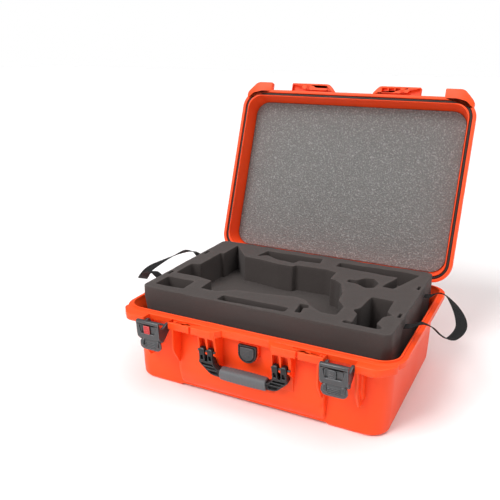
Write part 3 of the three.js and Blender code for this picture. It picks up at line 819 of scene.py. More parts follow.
def front_tab(side, z, holes=(), notch=True, bevel=0.9):
    """The flange beside the middle of the front, with its padlock hole."""
    edge = [(46, -195), (46, -203), (60, -219)]
    if notch:
        edge += [(103.5, -219), (103.5, -214.5), (107.5, -214.5), (107.5, -219)]
    edge += [(153.5, -219), (153.5, -195)]
    cut = [0.5, 4, 6] + ([1.0, 0.5, 0.5, 1.0] if notch else []) + [2.5, 0.5]
    outline = eased(edge, cut, 3)[0]
    own = [mirror(disc(4.8, 122, -211.5, 24), side)] + [mirror(h, side) for h in holes]
    return plate(mirror(outline, side), *z, holes=own, bevel=bevel)


def front_corner(side, z, bevel=1.0):
    """The flange at a front corner; its inner edge keeps outside the groove of the rim."""
    edge = [(206.5, -197), (206.5, -219), (246, -219), (271, -192), (268, -177.5), (253, -191.6), (233, -197)]
    return plate(mirror(eased(edge, [0.5, 3, 9, 9, 0.5, 3, 3], 4)[0], side), *z, bevel=bevel)


def base_front():
    """Apron, valve boss, handle brackets, latch fins and flanges of the front."""
    tall = [(-172, 14), (-179, 9), (-189, 19), (-196, 45), (-196, 66), (-191, 112), (-185, 137), (-172, 137)]
    low = [(y, min(z, 50 + (y + 196) * 0.8)) for y, z in tall]
    parts = [
        slab(low, -57, 57, 6, 0),
        plate(dome_shape(20.5, VALVE_Z), -190.2, -176, bevel=(1.5, 0), plane="xz"),
        slab([(-195, 138.4), (-203, 138.4), (-203, 151.6), (-195, 151.6)], -47.5, 47.5, 1, 0.3),
    ]
    flange = (138.2, 151.7)
    comb = [
        (55.5, 96), (58.3, 96), (58.3, 134.5), (71, 134.5), (71, 96), (75, 96), (75, 134.5), (88, 134.5), (88, 96),
        (92.6, 96), (92.6, 151), (55.5, 151),
    ]
    sloped = [(-197, 107), (-215.7, 107), (-215.7, 104), (-201, 91), (-197, 88)]
    back = [(-178, 150), (-200.6, 150), (-200.6, 90), (-196.5, 60), (-180, 50)]
    fin = [(-178, 149), (-218.5, 149), (-218.5, 97), (-198, 64), (-178, 60)]
    trough = [(-178, 148), (-205, 148), (-205, 100), (-192, 76), (-178, 72)]
    stub = [(-178, 149), (-212, 149), (-212, 133), (-186, 118), (-178, 118)]
    for _, side in SIDES:
        end = (0, 9.0) if side > 0 else (9.0, 0)
        parts.append(slab(tall, *span(side, 56.6, 149), 7, end, steps=6))
        bracket = plate(eased(mirror(comb, side), 1.2, 3)[0], -216, -199, bevel=(0.9, 0), plane="xz")
        parts.append(bracket.moved(sloping))
        parts.append(slab(back, *span(side, 55.7, 92.4), 1.5, 0.5))
        for web in ((55.6, 58.2), (71.1, 74.9), (88.1, 92.5)):
            parts.append(slab(sloped, *span(side, *web), 1.2, 0.5))
        for near, far in ((142, 150), (209, 216.5)):
            parts.append(slab(fin, *span(side, near, near + 3.6), [1, 2, 6, 4, 1], 0.9))
            parts.append(slab(trough, *span(side, near + 2, far), [1, 2, 4, 4, 1], 0.6))
        parts.append(slab(stub, *span(side, 222, 230), [1, 2, 7, 7, 1], 1.6))
        parts.append(front_tab(side, flange))
        parts.append(front_corner(side, flange))
    return parts


def sloping(p):
    """Lifts the lower end of the bracket's comb so that its foot slopes back like the webs behind it."""
    x, y, z = p.T.copy()
    foot = np.clip((104 - z) / 8, 0, 1)
    return np.stack([x, y + foot * 9.6 * np.clip((-y - 200) / 16, 0, 1), z], 1)


def base_back():
    """Hinge fins, rear flanges and the pad under the middle."""
    web = [(180, 96), (184, 96), (203, 112), (211, 136), (211.2, 152), (196.8, 152), (192, 146), (190, 138), (181, 131)]
    parts = [plate(rounded_rect(60, 40, 8, 0, 0, 6), 0, 8, bevel=0.8)]
    for _, side in SIDES:
        for x in ((129.5, 136.5), (189.5, 196.5)):
            parts.append(slab(web, *span(side, *x), [1, 1, 6, 6, 0.1, 0.1, 3, 3, 3], 1.0))
            knuckle = disc(7.2, HINGE_Y, HINGE_Z, 32)
            parts.append(plate(knuckle, *span(side, x[0] + 0.1, x[1] - 0.1), bevel=1.0, plane="yz"))
        low, high = span(side, 61, 129.8)
        outline = eased([(low, 194), (high, 194), (high, 216), (low, 216)], 2.5, 3)[0]
        parts.append(plate(outline, 138, 146, holes=[disc(5, side * 99, 208, 24)], bevel=0.9))
    return parts


# ---- shell of the lid, drawn closed ------------------------------------------------------------------
def lid_tub():
    """The lid's hollow, lips, gasket groove, rim band and domed outside as one section carried round, set back
    behind the base's hinge fins."""
    levels = [
        (236, 160, 28, 213.5), (245, 169, 34, 213.5), (253, 177, 34, 209), (257, 181, 34, 191), (261.2, 185.7, 34, 155),
        (262, 186.4, 34, 152.4), (263.5, 187.5, 30.5, 152.4), (263.5, 187.5, 30.5, 158.5), (270.5, 194.5, 37.5, 158.5),
        (270.5, 194.5, 37.5, 152.4), (277, 201, 44, 152.4), (277, 201, 44, 160), (277, 201, 44, 160.6), (277, 201, 44, 166),
        (266.5, 190.5, 44, 169.5), (261.5, 185.5, 44, 196), (258.5, 182.5, 43, 208), (251.5, 175.5, 42, 215.4),
        (240, 164, 36, 218.5), (230, 154, 28, 218.5),
    ]
    cut = [0, 3, 3, 2, 1, 0.5, 0.4, 0.5, 0.5, 0.6, 1.5, 0.1, 0.1, 2.2, 4, 8, 6, 8, 8, 0]
    tub = shell(levels, cut)

    def notched(p):
        x, y, z = p.T.copy()
        notch = (np.abs(x) > 128.5) & (np.abs(x) < 197.5) & (y > 195.9) & (z < 160.3)
        return np.stack([x, np.where(notch, 195.9, y), z], 1)

    return tub.moved(notched)


def lid_furniture():
    """Front flanges with recesses and ribs, fins, hinge barrels and the shallow arc on the outside."""
    fin = [(-199, 160), (-206, 168), (-204, 174), (-190, 199), (-179, 209), (-181, 200), (-188, 160)]
    arm = [
        (194.8, 153), (198.6, 153), (199.5, 148.4), (206, 152), (209.5, 156), (200, 165), (190, 169), (190, 160),
        (194.8, 160),
    ]
    rib = [(-216, 153.2), (-204, 153.2), (-204, 162), (-216, 162)]
    pocket = np.array([(66, -215.2), (108, -215.2), (108, -205), (66, -205)], float)
    parts = []
    for _, side in SIDES:
        parts.append(front_tab(side, (152.3, 161.2), [eased(pocket, 1.2, 3)[0]], notch=False, bevel=(0.9, 0)))
        parts.append(front_tab(side, (161, 166), notch=False, bevel=(0, 1.2)))
        for x in (79, 94):
            parts.append(slab(rib, *span(side, x, x + 2.4), 0.3, 0.3))
        parts.append(front_corner(side, (152.3, 166), 1.2))
        for x in ((148.5, 153.5), (206.5, 211.5)):
            parts.append(slab(fin, *span(side, *x), [0.5, 3, 5, 8, 2, 0.5, 0.5], 1.2))
        parts.append(slab(arm, *span(side, 137.3, 188.7), 0.5, 0.8))
        parts.append(plate(disc(6.8, HINGE_Y, HINGE_Z, 32), *span(side, 137.1, 188.9), bevel=1.0, plane="yz"))
    x = np.linspace(-150, 150, 61)
    fade = np.sin(np.linspace(0.02, np.pi - 0.02, 61)) ** 0.35
    path = np.stack([x, -104 - 14 * (x / 150) ** 2, np.full(61, 218.3)], 1)
    ridge = oval(5.5, 1.1, 2, 16)[None] * np.stack([fade, fade], 1)[:, None]
    parts.append(sweep(ridge, path, (0, 1, 0)))
    return parts


# ---- foam -----------------------------------------------------------------------------------------------
TRAY = {"hx": 249.5, "hy": 169.0, "y": 3.0, "low": 68.0, "high": 189.0, "r": 30.0, "r_top": 16.0}
SLIT_DEPTH = 25
POCKETS = {  # depth below the tray's top, and the plan of each cut-out
    "battery": (26, [(-230, -143), (-167, -141), (-169, -96), (-230, -98)]),
    "aircraft": (58, [
        (-229, -70), (-229, -10), (-210, -3), (-210, 84), (-201, 84), (-201, 150), (-150, 87), (-107, 84), (-61, 75),
        (-29, 75), (-25, 87), (43, 90), (67, 81), (68, 41), (80, 40), (96, 26), (116, -23), (121, -58), (139, -81),
        (139, -122), (110, -124), (82, -103), (65, -83), (40, -79), (-22, -94), (-75, -99), (-90, -112), (-103, -122),
        (-139, -122), (-139, -78), (-183, -69)]),
    "long_slot": (20, [(-83, -158), (52, -152), (52, -132), (-82, -133)]),
    "key_slot": (20, [(69, -145), (80, -143), (75, -120), (84, -117), (80, -104), (64, -106)]),
    "island": (30, [(-128, 102), (-120, 146), (12, 150), (16, 120), (-31, 118), (-36, 98), (-74, 101), (-108, 119)]),
    "rear_bar": (32, [(53, 119), (55, 144), (184, 150), (226, 143), (196, 46), (174, 49), (189, 112), (68, 118)]),
    "bulb": (40, [(102, 44), (104, 58), (119, 57), (131, 76), (148, 82), (163, 64), (161, 36), (147, 27), (126, 39)]),
    "camera": (85, [
        (172, -15), (214, -15), (216, -69), (228, -79), (215, -94), (213, -126), (226, -138), (224, -146), (158, -146),
        (159, -135), (174, -138), (171, -101), (159, -86), (168, -73)]),
    "slot_a": (SLIT_DEPTH, [(237.5, 64), (242.5, 64), (242.5, 84), (237.5, 84)]),
    "slot_b": (SLIT_DEPTH, [(237.5, -84), (242.5, -84), (242.5, -64), (237.5, -64)]),
    "slot_c": (SLIT_DEPTH, [(-242.5, 64), (-237.5, 64), (-237.5, 84), (-242.5, 84)]),
    "slot_d": (SLIT_DEPTH, [(-242.5, -84), (-237.5, -84), (-237.5, -64), (-242.5, -64)]),
}


def cut_block(outer, pockets, low, high, gap=9.0, lip=1.4):
    """A foam block with pockets: the outside rises as rings to a rounded lip, each pocket falls as rings from its
    own lip to its floor, and triangles join the lips over the top. pockets is a list of (depth, outline)."""
    quarter = np.linspace(0, np.pi / 2, 4)
    loops = [anticlockwise(outer)] + [anticlockwise(o) for _, o in pockets]
    floors = [low] + [high - depth for depth, _ in pockets]
    verts, faces, lips, start, tops = [], [], [], 0, []
    for k, (loop, floor) in enumerate(zip(loops, floors)):
        wall = np.linspace(floor, high - lip, max(3, int((high - floor) / 7)))
        inset = np.concatenate([np.zeros(len(wall) - 1), lip * (1 - np.cos(quarter))])
        if k == 0:
            inset[0] = 1.0
        height = np.concatenate([wall[:-1], high - lip + lip * np.sin(quarter)])
        sign = 1 if k == 0 else -1
        plan = loop[None] - sign * inset[:, None, None] * normals_of(loop)[None]
        tall = np.broadcast_to(height[:, None, None], (*plan.shape[:2], 1))
        verts.append(np.concatenate([plan, tall], 2).reshape(-1, 3))
        quads = grid_faces(len(height), len(loop)) + start
        floor_face = np.arange(len(loop))[None] + start
        faces += [quads, floor_face[:, ::-1]] if k == 0 else [quads[:, ::-1], floor_face]
        lips.append(np.arange(len(loop)) + start + (len(height) - 1) * len(loop))
        tops.append(plan[-1])
        start += plan.shape[0] * plan.shape[1]
    own = np.concatenate(lips)
    points, tris = filled(tops[0], tops[1:], gap)
    fresh = points[len(own):]
    index = np.concatenate([own, start + np.arange(len(fresh))])
    faces.append(index[tris])
    verts = np.concatenate([*verts, np.concatenate([fresh, np.full((len(fresh), 1), high)], 1)])
    edge = np.zeros(len(verts))
    edge[own] = 1
    return Part(verts, faces, edge).outward()


def pressed_corners(p):
    """The tray's corners are nearly square at the top and pressed rounder where the shell holds them: points past
    a corner's centre are drawn in to a radius that grows with height."""
    x, y, z = p.T
    u = np.clip(np.abs(x) - (TRAY["hx"] - TRAY["r"]), 0, None)
    v = np.clip(np.abs(y - TRAY["y"]) - (TRAY["hy"] - TRAY["r"]), 0, None)
    reach = np.hypot(u, v)
    most = TRAY["r"] - 0.8 + 6 * np.clip((z - 125) / 45, 0, 1)
    pull = np.where((u > 0) & (v > 0) & (reach > most), most / np.maximum(reach, 1e-6), 1.0)
    return np.stack([x - np.sign(x) * u * (1 - pull), y - np.sign(y - TRAY["y"]) * v * (1 - pull), z], 1)


def uneven(p, walls, top, seed):
    """Foam never stands quite true: points pushed a little along x, y and z by slow ripples."""
    push = np.stack([walls * ripple(p, 70, seed), walls * ripple(p, 70, seed + 1), top * ripple(p, 110, seed + 2)], 1)
    fine = ripple(p * (1, 1, 2.2), 14, seed + 3)[:, None] * (0.25 * walls, 0.25 * walls, 0.1 * top)
    return p + push + fine


# ---- straps ---------------------------------------------------------------------------------------------
STRAP_PATH = np.array([
    (250.6, 80, 172), (263, 80, 174), (277, 77, 183), (294, 67, 185), (311, 50, 178), (326, 25, 170), (335, 0, 164),
    (337, -20, 160), (333, -40, 156), (325, -58, 155), (312, -70, 165), (297, -77, 180), (280, -79, 184), (264, -78, 175),
    (250.6, -78, 172)], float)
STRAP_WAY = np.array([  # the way of the width at each of those places
    (0, 1, 0), (0, 1, 0), (0.12, 0.9, -0.3), (0.25, 0.75, -0.5), (0.6, 0.6, -0.4), (0.85, 0.4, -0.2), (1, 0.1, 0),
    (1, -0.1, 0.05), (0.95, -0.3, 0.1), (0.75, -0.6, 0.2), (0.45, -0.85, 0.3), (0.4, -0.87, 0.3), (0.25, -0.95, 0.2),
    (0, -1, 0), (0, -1, 0)], float)
STRAP_THICK = 1.6


def through(points, count):
    """A Catmull-Rom curve through points of any dimension, at count places evenly spaced by index."""
    p = np.concatenate([2 * points[:1] - points[1:2], points, 2 * points[-1:] - points[-2:-1]])
    t = np.linspace(0, len(points) - 1 - 1e-9, count)
    k = t.astype(int)
    f = (t - k)[:, None]
    a, b, c, d = p[k], p[k + 1], p[k + 2], p[k + 3]
    return 0.5 * (2 * b + (c - a) * f + (2 * a - 5 * b + 4 * c - d) * f**2 + (3 * b - a - 3 * c + d) * f**3)


def strap_part(side, width):
    """A flat band along the strap's path: its width lies along Y beside the tray and turns outward where the loop
    hangs. Returns the part and the band's length in metres."""
    count = 113
    line = through(STRAP_PATH * (side, 1, 1), count)
    across = through(STRAP_WAY * (side, 1, 1), count)
    half, thick = width / 2, STRAP_THICK / 2
    v = np.linspace(-half, half, 9)
    profile = np.concatenate([np.stack([v, np.full(9, thick)], 1), np.stack([v[::-1], np.full(9, -thick)], 1)])
    profile[[0, 8, 9, 17], 1] *= 0.5
    part = sweep(profile, line, across)
    step = np.linalg.norm(np.diff(line, axis=0), axis=1)
    along = np.concatenate([[0], np.cumsum(step)])
    run = np.zeros((count, 18, 3))
    run[..., 0] = along[:, None] * MM
    run[..., 1] = (profile[None, :, 0] + half) * MM
    part.run = run.reshape(-1, 3)
    return part, along[-1] * MM


# ---- latches, drawn in their own places -------------------------------------------------------------------
def claw_parts():
    """The claw, hooked, about its pin: face with a recess, rolled lip, side arms and pin bosses."""
    face = eased([(-24.5, 15), (-24.5, -9), (-22, -16), (22, -16), (24.5, -9), (24.5, 15)], [1, 3, 4, 4, 3, 1], 4)[0]
    recess = eased([(-18.8, 11), (-15.4, -6.5), (15.4, -6.5), (18.8, 11)], 3.5, 5)[0]
    floor = [(-19.5, 13), (-19.5, -11), (19.5, -11), (19.5, 13)]
    roll = [(12.6, 25.4), (20, 25.4), (20, 33.5), (12.6, 33.5)]
    foot = [(-16, 26), (-12, 26), (-10, 28.8), (-6, 28.8), (-6, 32.2), (-14.5, 32.2), (-16, 30.5)]
    arm = [(-14, 32.4), (-24, 25), (-24, 18), (-8, -4), (0, -7), (6, -4), (7, 3), (3, 20), (7, 27), (15, 27), (15, 32.4)]
    ledge = [(-5.6, 29.6), (9.6, 29.6), (9.6, 31.2), (-5.6, 31.2)]
    parts = [
        plate(face, 29, 33, holes=[recess], bevel=0.9),
        plate(floor, 27.4, 29.8, bevel=0.3),
        slab(roll, -24.5, 24.5, 3.4, 1.6),
        slab(foot, -21.8, 21.8, 1.2, 0.8),
        slab(ledge, -16.6, -13.6, 0.5, 0.4),
        slab(ledge, 13.6, 16.6, 0.5, 0.4),
    ]
    for _, side in SIDES:
        parts.append(slab(arm, *span(side, 19.5, 24.5), 3, 0.9))
        parts.append(plate(disc(4.6, 0, 0), *span(side, 24.3, 25.6), bevel=0.5, plane="yz"))
        parts.append(plate(disc(4.2, LEVER_Y, LEVER_Z), *span(side, 24.3, 25.3), bevel=0.4, plane="yz"))
    return parts


def slide_parts():
    """The slide in the claw's recess: a pad with three low ridges on a block that fills the window."""
    parts = [
        plate(rounded_rect(6.4, 8.2, 1.6, -2, 2, 5), 30.6, 33.4, bevel=(0.3, 1.0)),
        plate(rounded_rect(5.8, 3.2, 0.8, -2, 3, 4), 27.6, 30.8, bevel=0.2),
    ]
    for y in (-2.4, 1.8, 6.0):
        parts.append(plate(rounded_rect(4.6, 0.8, 0.7, -2, y, 4), 33.1, 34.1, bevel=(0, 0.5)))
    return parts


def lever_parts(ridges):
    """The lift lever, hanging: a flared plate with ridges, and two cheeks about the pin."""
    flare = [
        (-18.3, 0.6), (-19.2, -2.5), (-22.4, -6.5), (-23.6, -17), (-17, -23.5), (17, -23.5), (23.6, -17), (22.4, -6.5),
        (19.2, -2.5), (18.3, 0.6),
    ]
    cheek = [(-3.8, 2.6), (-8, -4), (-10, -12), (-5, -17), (3, -9), (4.6, 0), (1.8, 4.2), (-1.8, 4.2)]

    def leaned(p):
        return p + np.stack([0 * p[:, 0], -3.5 - (p[:, 2] + 5) * 0.03, 0 * p[:, 0]], 1)

    cut = [1.5, 1.5, 2.5, 4, 6, 6, 4, 2.5, 1.5, 1.5]
    parts = [plate(eased(flare, cut, 4)[0], -2.6, 1.6, bevel=1.2, plane="xz").moved(leaned)]
    parts.append(plate(disc(4.4, 0, 0, 24), -18.6, 18.6, bevel=0.8, plane="yz"))
    panel = eased([(-14.5, -6), (-16.5, -18), (-12, -21), (12, -21), (16.5, -18), (14.5, -6)], 2.0, 3)[0]
    parts.append(plate(panel, -3.1, -2.0, bevel=(0.6, 0), plane="xz").moved(leaned))
    for k in range(ridges):
        z = -9 - k * 9.6 / max(1, ridges - 1)
        bar = plate(rounded_rect(11.5, 0.8, 0.7, 0, z, 4), -4.2, -2.9, bevel=(0.5, 0), plane="xz")
        parts.append(bar.moved(leaned))
    for _, side in SIDES:
        parts.append(slab(cheek, *span(side, 12.9, 18.9), 1.4, 0.8))
    return parts


# ---- handle, drawn plumb about its pivot --------------------------------------------------------------------
def handle_frame_parts():
    """The forked frame: an outline with hollows between its ribs, a thinner web that closes them, and tops
    rounded about the pivot."""
    right = [
        (0, -46.5), (58, -46.5), (68, -44), (90, -22), (87.5, -16), (86.8, 8), (76, 8), (76, -18.5), (70, -18.5), (70, 8),
        (59.5, 8), (59.5, -22), (50, -33), (0, -33),
    ]
    cut = [0, 4, 5, 4, 3, 4, 4, 2.5, 2.5, 4, 4, 5, 6, 0]
    half = eased(right, np.maximum(cut, 0.01), 4)[0]
    outline = np.concatenate([half, (half * (-1, 1))[::-1]])
    outline = outline[np.abs(outline[:, 0]) > 1e-3]
    hollows = [
        [(62.2, -15.5), (67.4, -15.5), (67.4, -5.5), (62.2, -5.5)],
        [(78.7, -15.5), (84.3, -15.5), (84.0, -5.5), (78.7, -5.5)],
        [(62.0, -22.4), (85.6, -22.4), (81, -27.0), (58, -27.0)],
        [(56.4, -29.2), (78.6, -29.2), (74, -33.8), (52.5, -33.8)],
        [(50.5, -36.0), (71.8, -36.0), (66, -41.6), (57, -43.8), (50.5, -43.8)],
    ]
    holes = [mirror(eased(h, 1.0, 3)[0], side) for h in hollows for _, side in SIDES]

    def rounded_top(p):
        scale = np.sqrt(1 - np.clip(p[:, 2] / 9.2, 0, 1) ** 2)
        return p * np.stack([np.ones(len(p)), scale, np.ones(len(p))], 1)

    frame_part = plate(outline, -7, 7, holes=holes, bevel=1.3, plane="xz")
    web = plate(outline * 0.995 + (0, -0.15), -2.6, 2.6, bevel=0.4, plane="xz")
    return [frame_part.moved(rounded_top), web.moved(rounded_top)]


def handle_grip_parts(ridges):
    """The sleeve: a superellipse along X, fuller in the middle, with low ridges and eased ends."""
    count = 121
    x = np.linspace(-46, 46, count)
    end = np.clip((46 - np.abs(x)) / 3.0, 0, 1)
    size = 0.86 + 0.14 * np.sqrt(1 - (1 - end) ** 2)
    size *= 1 - 0.05 * (x / 46) ** 2
    band = np.clip((33 - np.abs(x)) / 2, 0, 1)
    size += 0.022 * band * (np.cos(2 * np.pi * x * ridges / 66) > 0.2)
    profile = oval(11.2, 12.2, 2.8, 40)[None] * size[:, None, None]
    path = np.stack([x, 0 * x, np.full(count, -39.6)], 1)
    part = sweep(profile, path, (0, 1, 0))
    part.edge = np.repeat(np.clip(1 - end, 0, 1), 40)
    return [part]


def dome_shape(half, z):
    """A letter-D outline, flat side up."""
    t = np.linspace(np.pi, 2 * np.pi, 24)
    arc = np.stack([half * np.cos(t), z + half * np.sin(t)], 1)
    top = z + 0.87 * half
    corners = eased([(half, z), (half, top), (-half, top), (-half, z)], half * 0.16, 4)[0]
    return np.concatenate([arc, corners[(corners[:, 1] > z + 0.1)]])


# ---- what a user may change -----------------------------------------------------------------------------
def colour_property(name, description, default):
    """A colour as linear light, from 0 to 1."""
    return bpy.props.FloatVectorProperty(
        name=name, description=description, default=default, size=3, min=0.0, max=1.0, subtype="COLOR"
    )


class CaseColours(bpy.types.PropertyGroup):
    """Colours of the case's materials, as linear light."""

    shell: colour_property("Shell", "Moulded shell of the base and lid", (1.0, 0.075, 0.008))
    hardware: colour_property("Hardware", "Latches, handle frame, valve and badge", (0.010, 0.010, 0.011))
    grip: colour_property("Grip", "Sleeve of the handle and cap of the valve", (0.105, 0.108, 0.114))
    tray: colour_property("Tray foam", "Cut foam tray and the layer under it", (0.042, 0.032, 0.029))
    lid_foam: colour_property("Lid foam", "Pebbled foam sheet inside the lid", (0.150, 0.148, 0.143))
    floor: colour_property("Floor", "Plain floor under the case", (0.93, 0.93, 0.93))


class CaseSizes(bpy.types.PropertyGroup):
    """Sizes of details that the CAD leaves open."""

    webbing_width: bpy.props.FloatProperty(
        name="Webbing width", description="Width of the pull straps", default=0.020, min=0.01, max=0.03, unit="LENGTH"
    )
    foam_lattice: bpy.props.FloatProperty(
        name="Foam lattice", description="Spacing of points over foam faces", default=0.009, min=0.004, max=0.03,
        unit="LENGTH"
    )
    grip_ridges: bpy.props.IntProperty(
        name="Grip ridges", description="Low ridges round the handle's sleeve", default=11, min=0, max=20
    )
    lever_ridges: bpy.props.IntProperty(
        name="Lever ridges", description="Raised bars on each latch lever", default=4, min=2, max=6
    )


# ---- operators ---------------------------------------------------------------------------------------------
class BuildStep(bpy.types.Operator):
    """Shared base of the building steps."""

    bl_idname = "case.build_step"
    bl_label = "Build Step"
    bl_options = {"REGISTER", "UNDO"}

    def make(self, colours, sizes):
        raise NotImplementedError

    def execute(self, context):
        self.make(context.scene.case_colours, context.scene.case_sizes)
        return {"FINISHED"}


class BuildBaseShell(BuildStep):
    """Builds the base half of the shell with its rim, flanges, brackets, fins and feet"""

    bl_idname = "case.base_shell"
    bl_label = "Base Shell"

    def make(self, colours, sizes):
        parts = [base_tub(), *base_front(), *base_back()]
        put("case_base", parts, shell_plastic(), "base", ["base_shell"])


class BuildLidShell(BuildStep):
    """Builds the lid half of the shell, standing open on its hinges"""

    bl_idname = "case.lid_shell"
    bl_label = "Lid Shell"

    def make(self, colours, sizes):
        parts = [p.moved(opened) for p in (lid_tub(), *lid_furniture())]
        put("case_lid", parts, shell_plastic(), "lid", ["lid_shell"])


class BuildGasket(BuildStep):
    """Lays the gasket cord in the lid's groove"""

    bl_idname = "case.gasket"
    bl_label = "Gasket"

    def make(self, colours, sizes):
        hx, hy, r = (size - 10 for size in RIM)
        plan = rounded_rect(hx, hy, r, corner=16, gap=12)
        path = np.concatenate([plan, np.full((len(plan), 1), 157.0)], 1)
        part = sweep(oval(1.35, 2.8, 2.4, 16), path, (0, 0, 1), closed=True)
        put("lid_seal", [part.moved(opened)], seal_rubber(), "lid", ["lid_gasket"])


class BuildLidFoam(BuildStep):
    """Builds the pebbled foam sheet that fills the lid"""

    bl_idname = "case.lid_foam"
    bl_label = "Lid Foam"

    def make(self, colours, sizes):
        def tapered(p):
            share = (p[:, 2] - 191) / 22
            plan = p[:, :2] * np.stack([1 - 0.035 * share, 1 - 0.05 * share], 1)
            face = np.exp(-np.clip(p[:, 2] - 191, 0, None) / 2.0)
            height = p[:, 2] + face * (0.35 * ripple(p, 120, 5) + 0.12 * ripple(p, 26, 6) + 0.2)
            return np.stack([plan[:, 0], plan[:, 1], height], 1)

        gap = sizes.foam_lattice / MM
        part = plate(rounded_rect(256, 180, 33, corner=14), 191, 212.4, bevel=(2.2, 3), gap=gap, lift=tapered)
        piece = put("lid_foam_sheet", [part.moved(opened)], lid_foam(), "lid", ["lid_foam"], smooth=60)


class BuildBadge(BuildStep):
    """Fits the blank badge to the lid's outside"""

    bl_idname = "case.badge"
    bl_label = "Badge"

    def make(self, colours, sizes):
        parts = [
            plate(rounded_rect(29, 5, 1.6, 0, 146, 5), 218.7, 219.6, bevel=(0, 0.4)),
            plate(rounded_rect(27.2, 3.4, 1.0, 0, 146, 5), 219.4, 219.95, bevel=(0, 0.3)),
        ]
        parts = [p.moved(opened) for p in parts]
        put("blank_badge", parts, hardware_plastic(), "lid", ["lid_badge"])


def drawn_in(p):
    """Draws the foot of the foam layer in by up to 2.2 % of its plan, where the tub's own foot narrows."""
    share = 1 - 0.022 * np.clip((26 - p[:, 2]) / 12, 0, 1)
    return p * np.stack([share, share, np.ones(len(p))], 1)


class BuildTray(BuildStep):
    """Cuts the foam tray with its pockets, and the foam layer under it"""

    bl_idname = "case.tray"
    bl_label = "Foam Tray"

    def make(self, colours, sizes):
        outer = rounded_rect(TRAY["hx"] - 0.6, TRAY["hy"] - 0.6, TRAY["r_top"], 0, TRAY["y"], 14, 7)
        pockets = []
        for depth, plan in POCKETS.values():
            cut = 4.0 if depth != SLIT_DEPTH else 1.0
            pockets.append((depth, spaced(eased(anticlockwise(np.array(plan, float)), cut, 3)[0], 7)))
        block = cut_block(outer, pockets, TRAY["low"] + 0.3, TRAY["high"], sizes.foam_lattice / MM)
        block.verts = uneven(pressed_corners(block.verts), 0.45, 0.45, 11)
        tray = put("cut_tray", [block], tray_foam(), "tray", ["foam_tray"], smooth=50)
        layer = plate(rounded_rect(246.6, 170.6, 31, corner=12), 14.8, 67.0, bevel=3.0, steps=4)
        part = layer.moved(drawn_in)
        under = put("base_layer", [part], tray_foam(), "base", ["foam_base_layer"], smooth=50)


class BuildStraps(BuildStep):
    """Hangs a loop of webbing from each side of the tray"""

    bl_idname = "case.straps"
    bl_label = "Pull Straps"

    def make(self, colours, sizes):
        width = sizes.webbing_width / MM
        for name, side in SIDES:
            part, length = strap_part(side, width)
            strap = put(f"strap_{name}", [part], webbing(), "tray", [f"pull_strap_{name}"])
            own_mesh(strap)


class BuildHandle(BuildStep):
    """Builds the forked handle frame, its sleeve and its pins"""

    bl_idname = "case.handle"
    bl_label = "Handle"

    def make(self, colours, sizes):
        arms = [p.moved(hung) for p in handle_frame_parts()]
        put("handle_arms", arms, hardware_plastic(), "handle", ["handle_frame"])
        sleeve = [p.moved(hung) for p in handle_grip_parts(sizes.grip_ridges)]
        put("handle_sleeve", sleeve, grip_rubber(), "handle", ["handle_grip"])
        for name, side in SIDES:
            pin = rod(2.4, span(side, 56.2, 92.2), HANDLE_Y, HANDLE_Z)
            put(f"handle_rod_{name}", pin, steel(), "base", [f"handle_pin_{name}"])


class BuildHinges(BuildStep):
    """Puts the steel pins through the hinges"""

    bl_idname = "case.hinges"
    bl_label = "Hinge Pins"

    def make(self, colours, sizes):
        for name, side in SIDES:
            pin = rod(2.5, span(side, 128.4, 197.6), HINGE_Y, HINGE_Z)
            put(f"hinge_rod_{name}", pin, steel(), "base", [f"hinge_pin_{name}"])


class BuildLatches(BuildStep):
    """Builds both latches: claw, slide, lever and their pins"""

    bl_idname = "case.latches"
    bl_label = "Latches"

    def make(self, colours, sizes):
        for name, side in SIDES:
            to_claw, to_lever = latched(side), lifted(side)
            own = f"latch_{name}"
            claw = [p.moved(to_claw) for p in claw_parts()]
            put(f"{own}_jaw", claw, latch_plastic(), f"{own}_claw", [f"{own}_claw"])
            finish = red_plastic() if side < 0 else latch_plastic()
            slide = [p.moved(to_claw) for p in slide_parts()]
            put(f"{own}_slide", slide, finish, f"{own}_lock", [f"{own}_slide_lock"])
            handle = [p.moved(to_lever) for p in lever_parts(sizes.lever_ridges)]
            put(f"{own}_tab", handle, latch_plastic(), f"{own}_lever", [f"{own}_lever"])
            pin = rod(2.0, (side * LATCH_X - 37, side * LATCH_X + 37), LATCH_Y, LATCH_Z)
            put(f"{own}_rod", pin, steel(), "base", [f"{own}_pin"])
            short = [p.moved(to_lever) for p in rod(1.9, (-24.9, 24.9), 0, 0)]
            put(f"{own}_short_rod", short, steel(), f"{own}_claw", [f"{own}_lever_pin"])


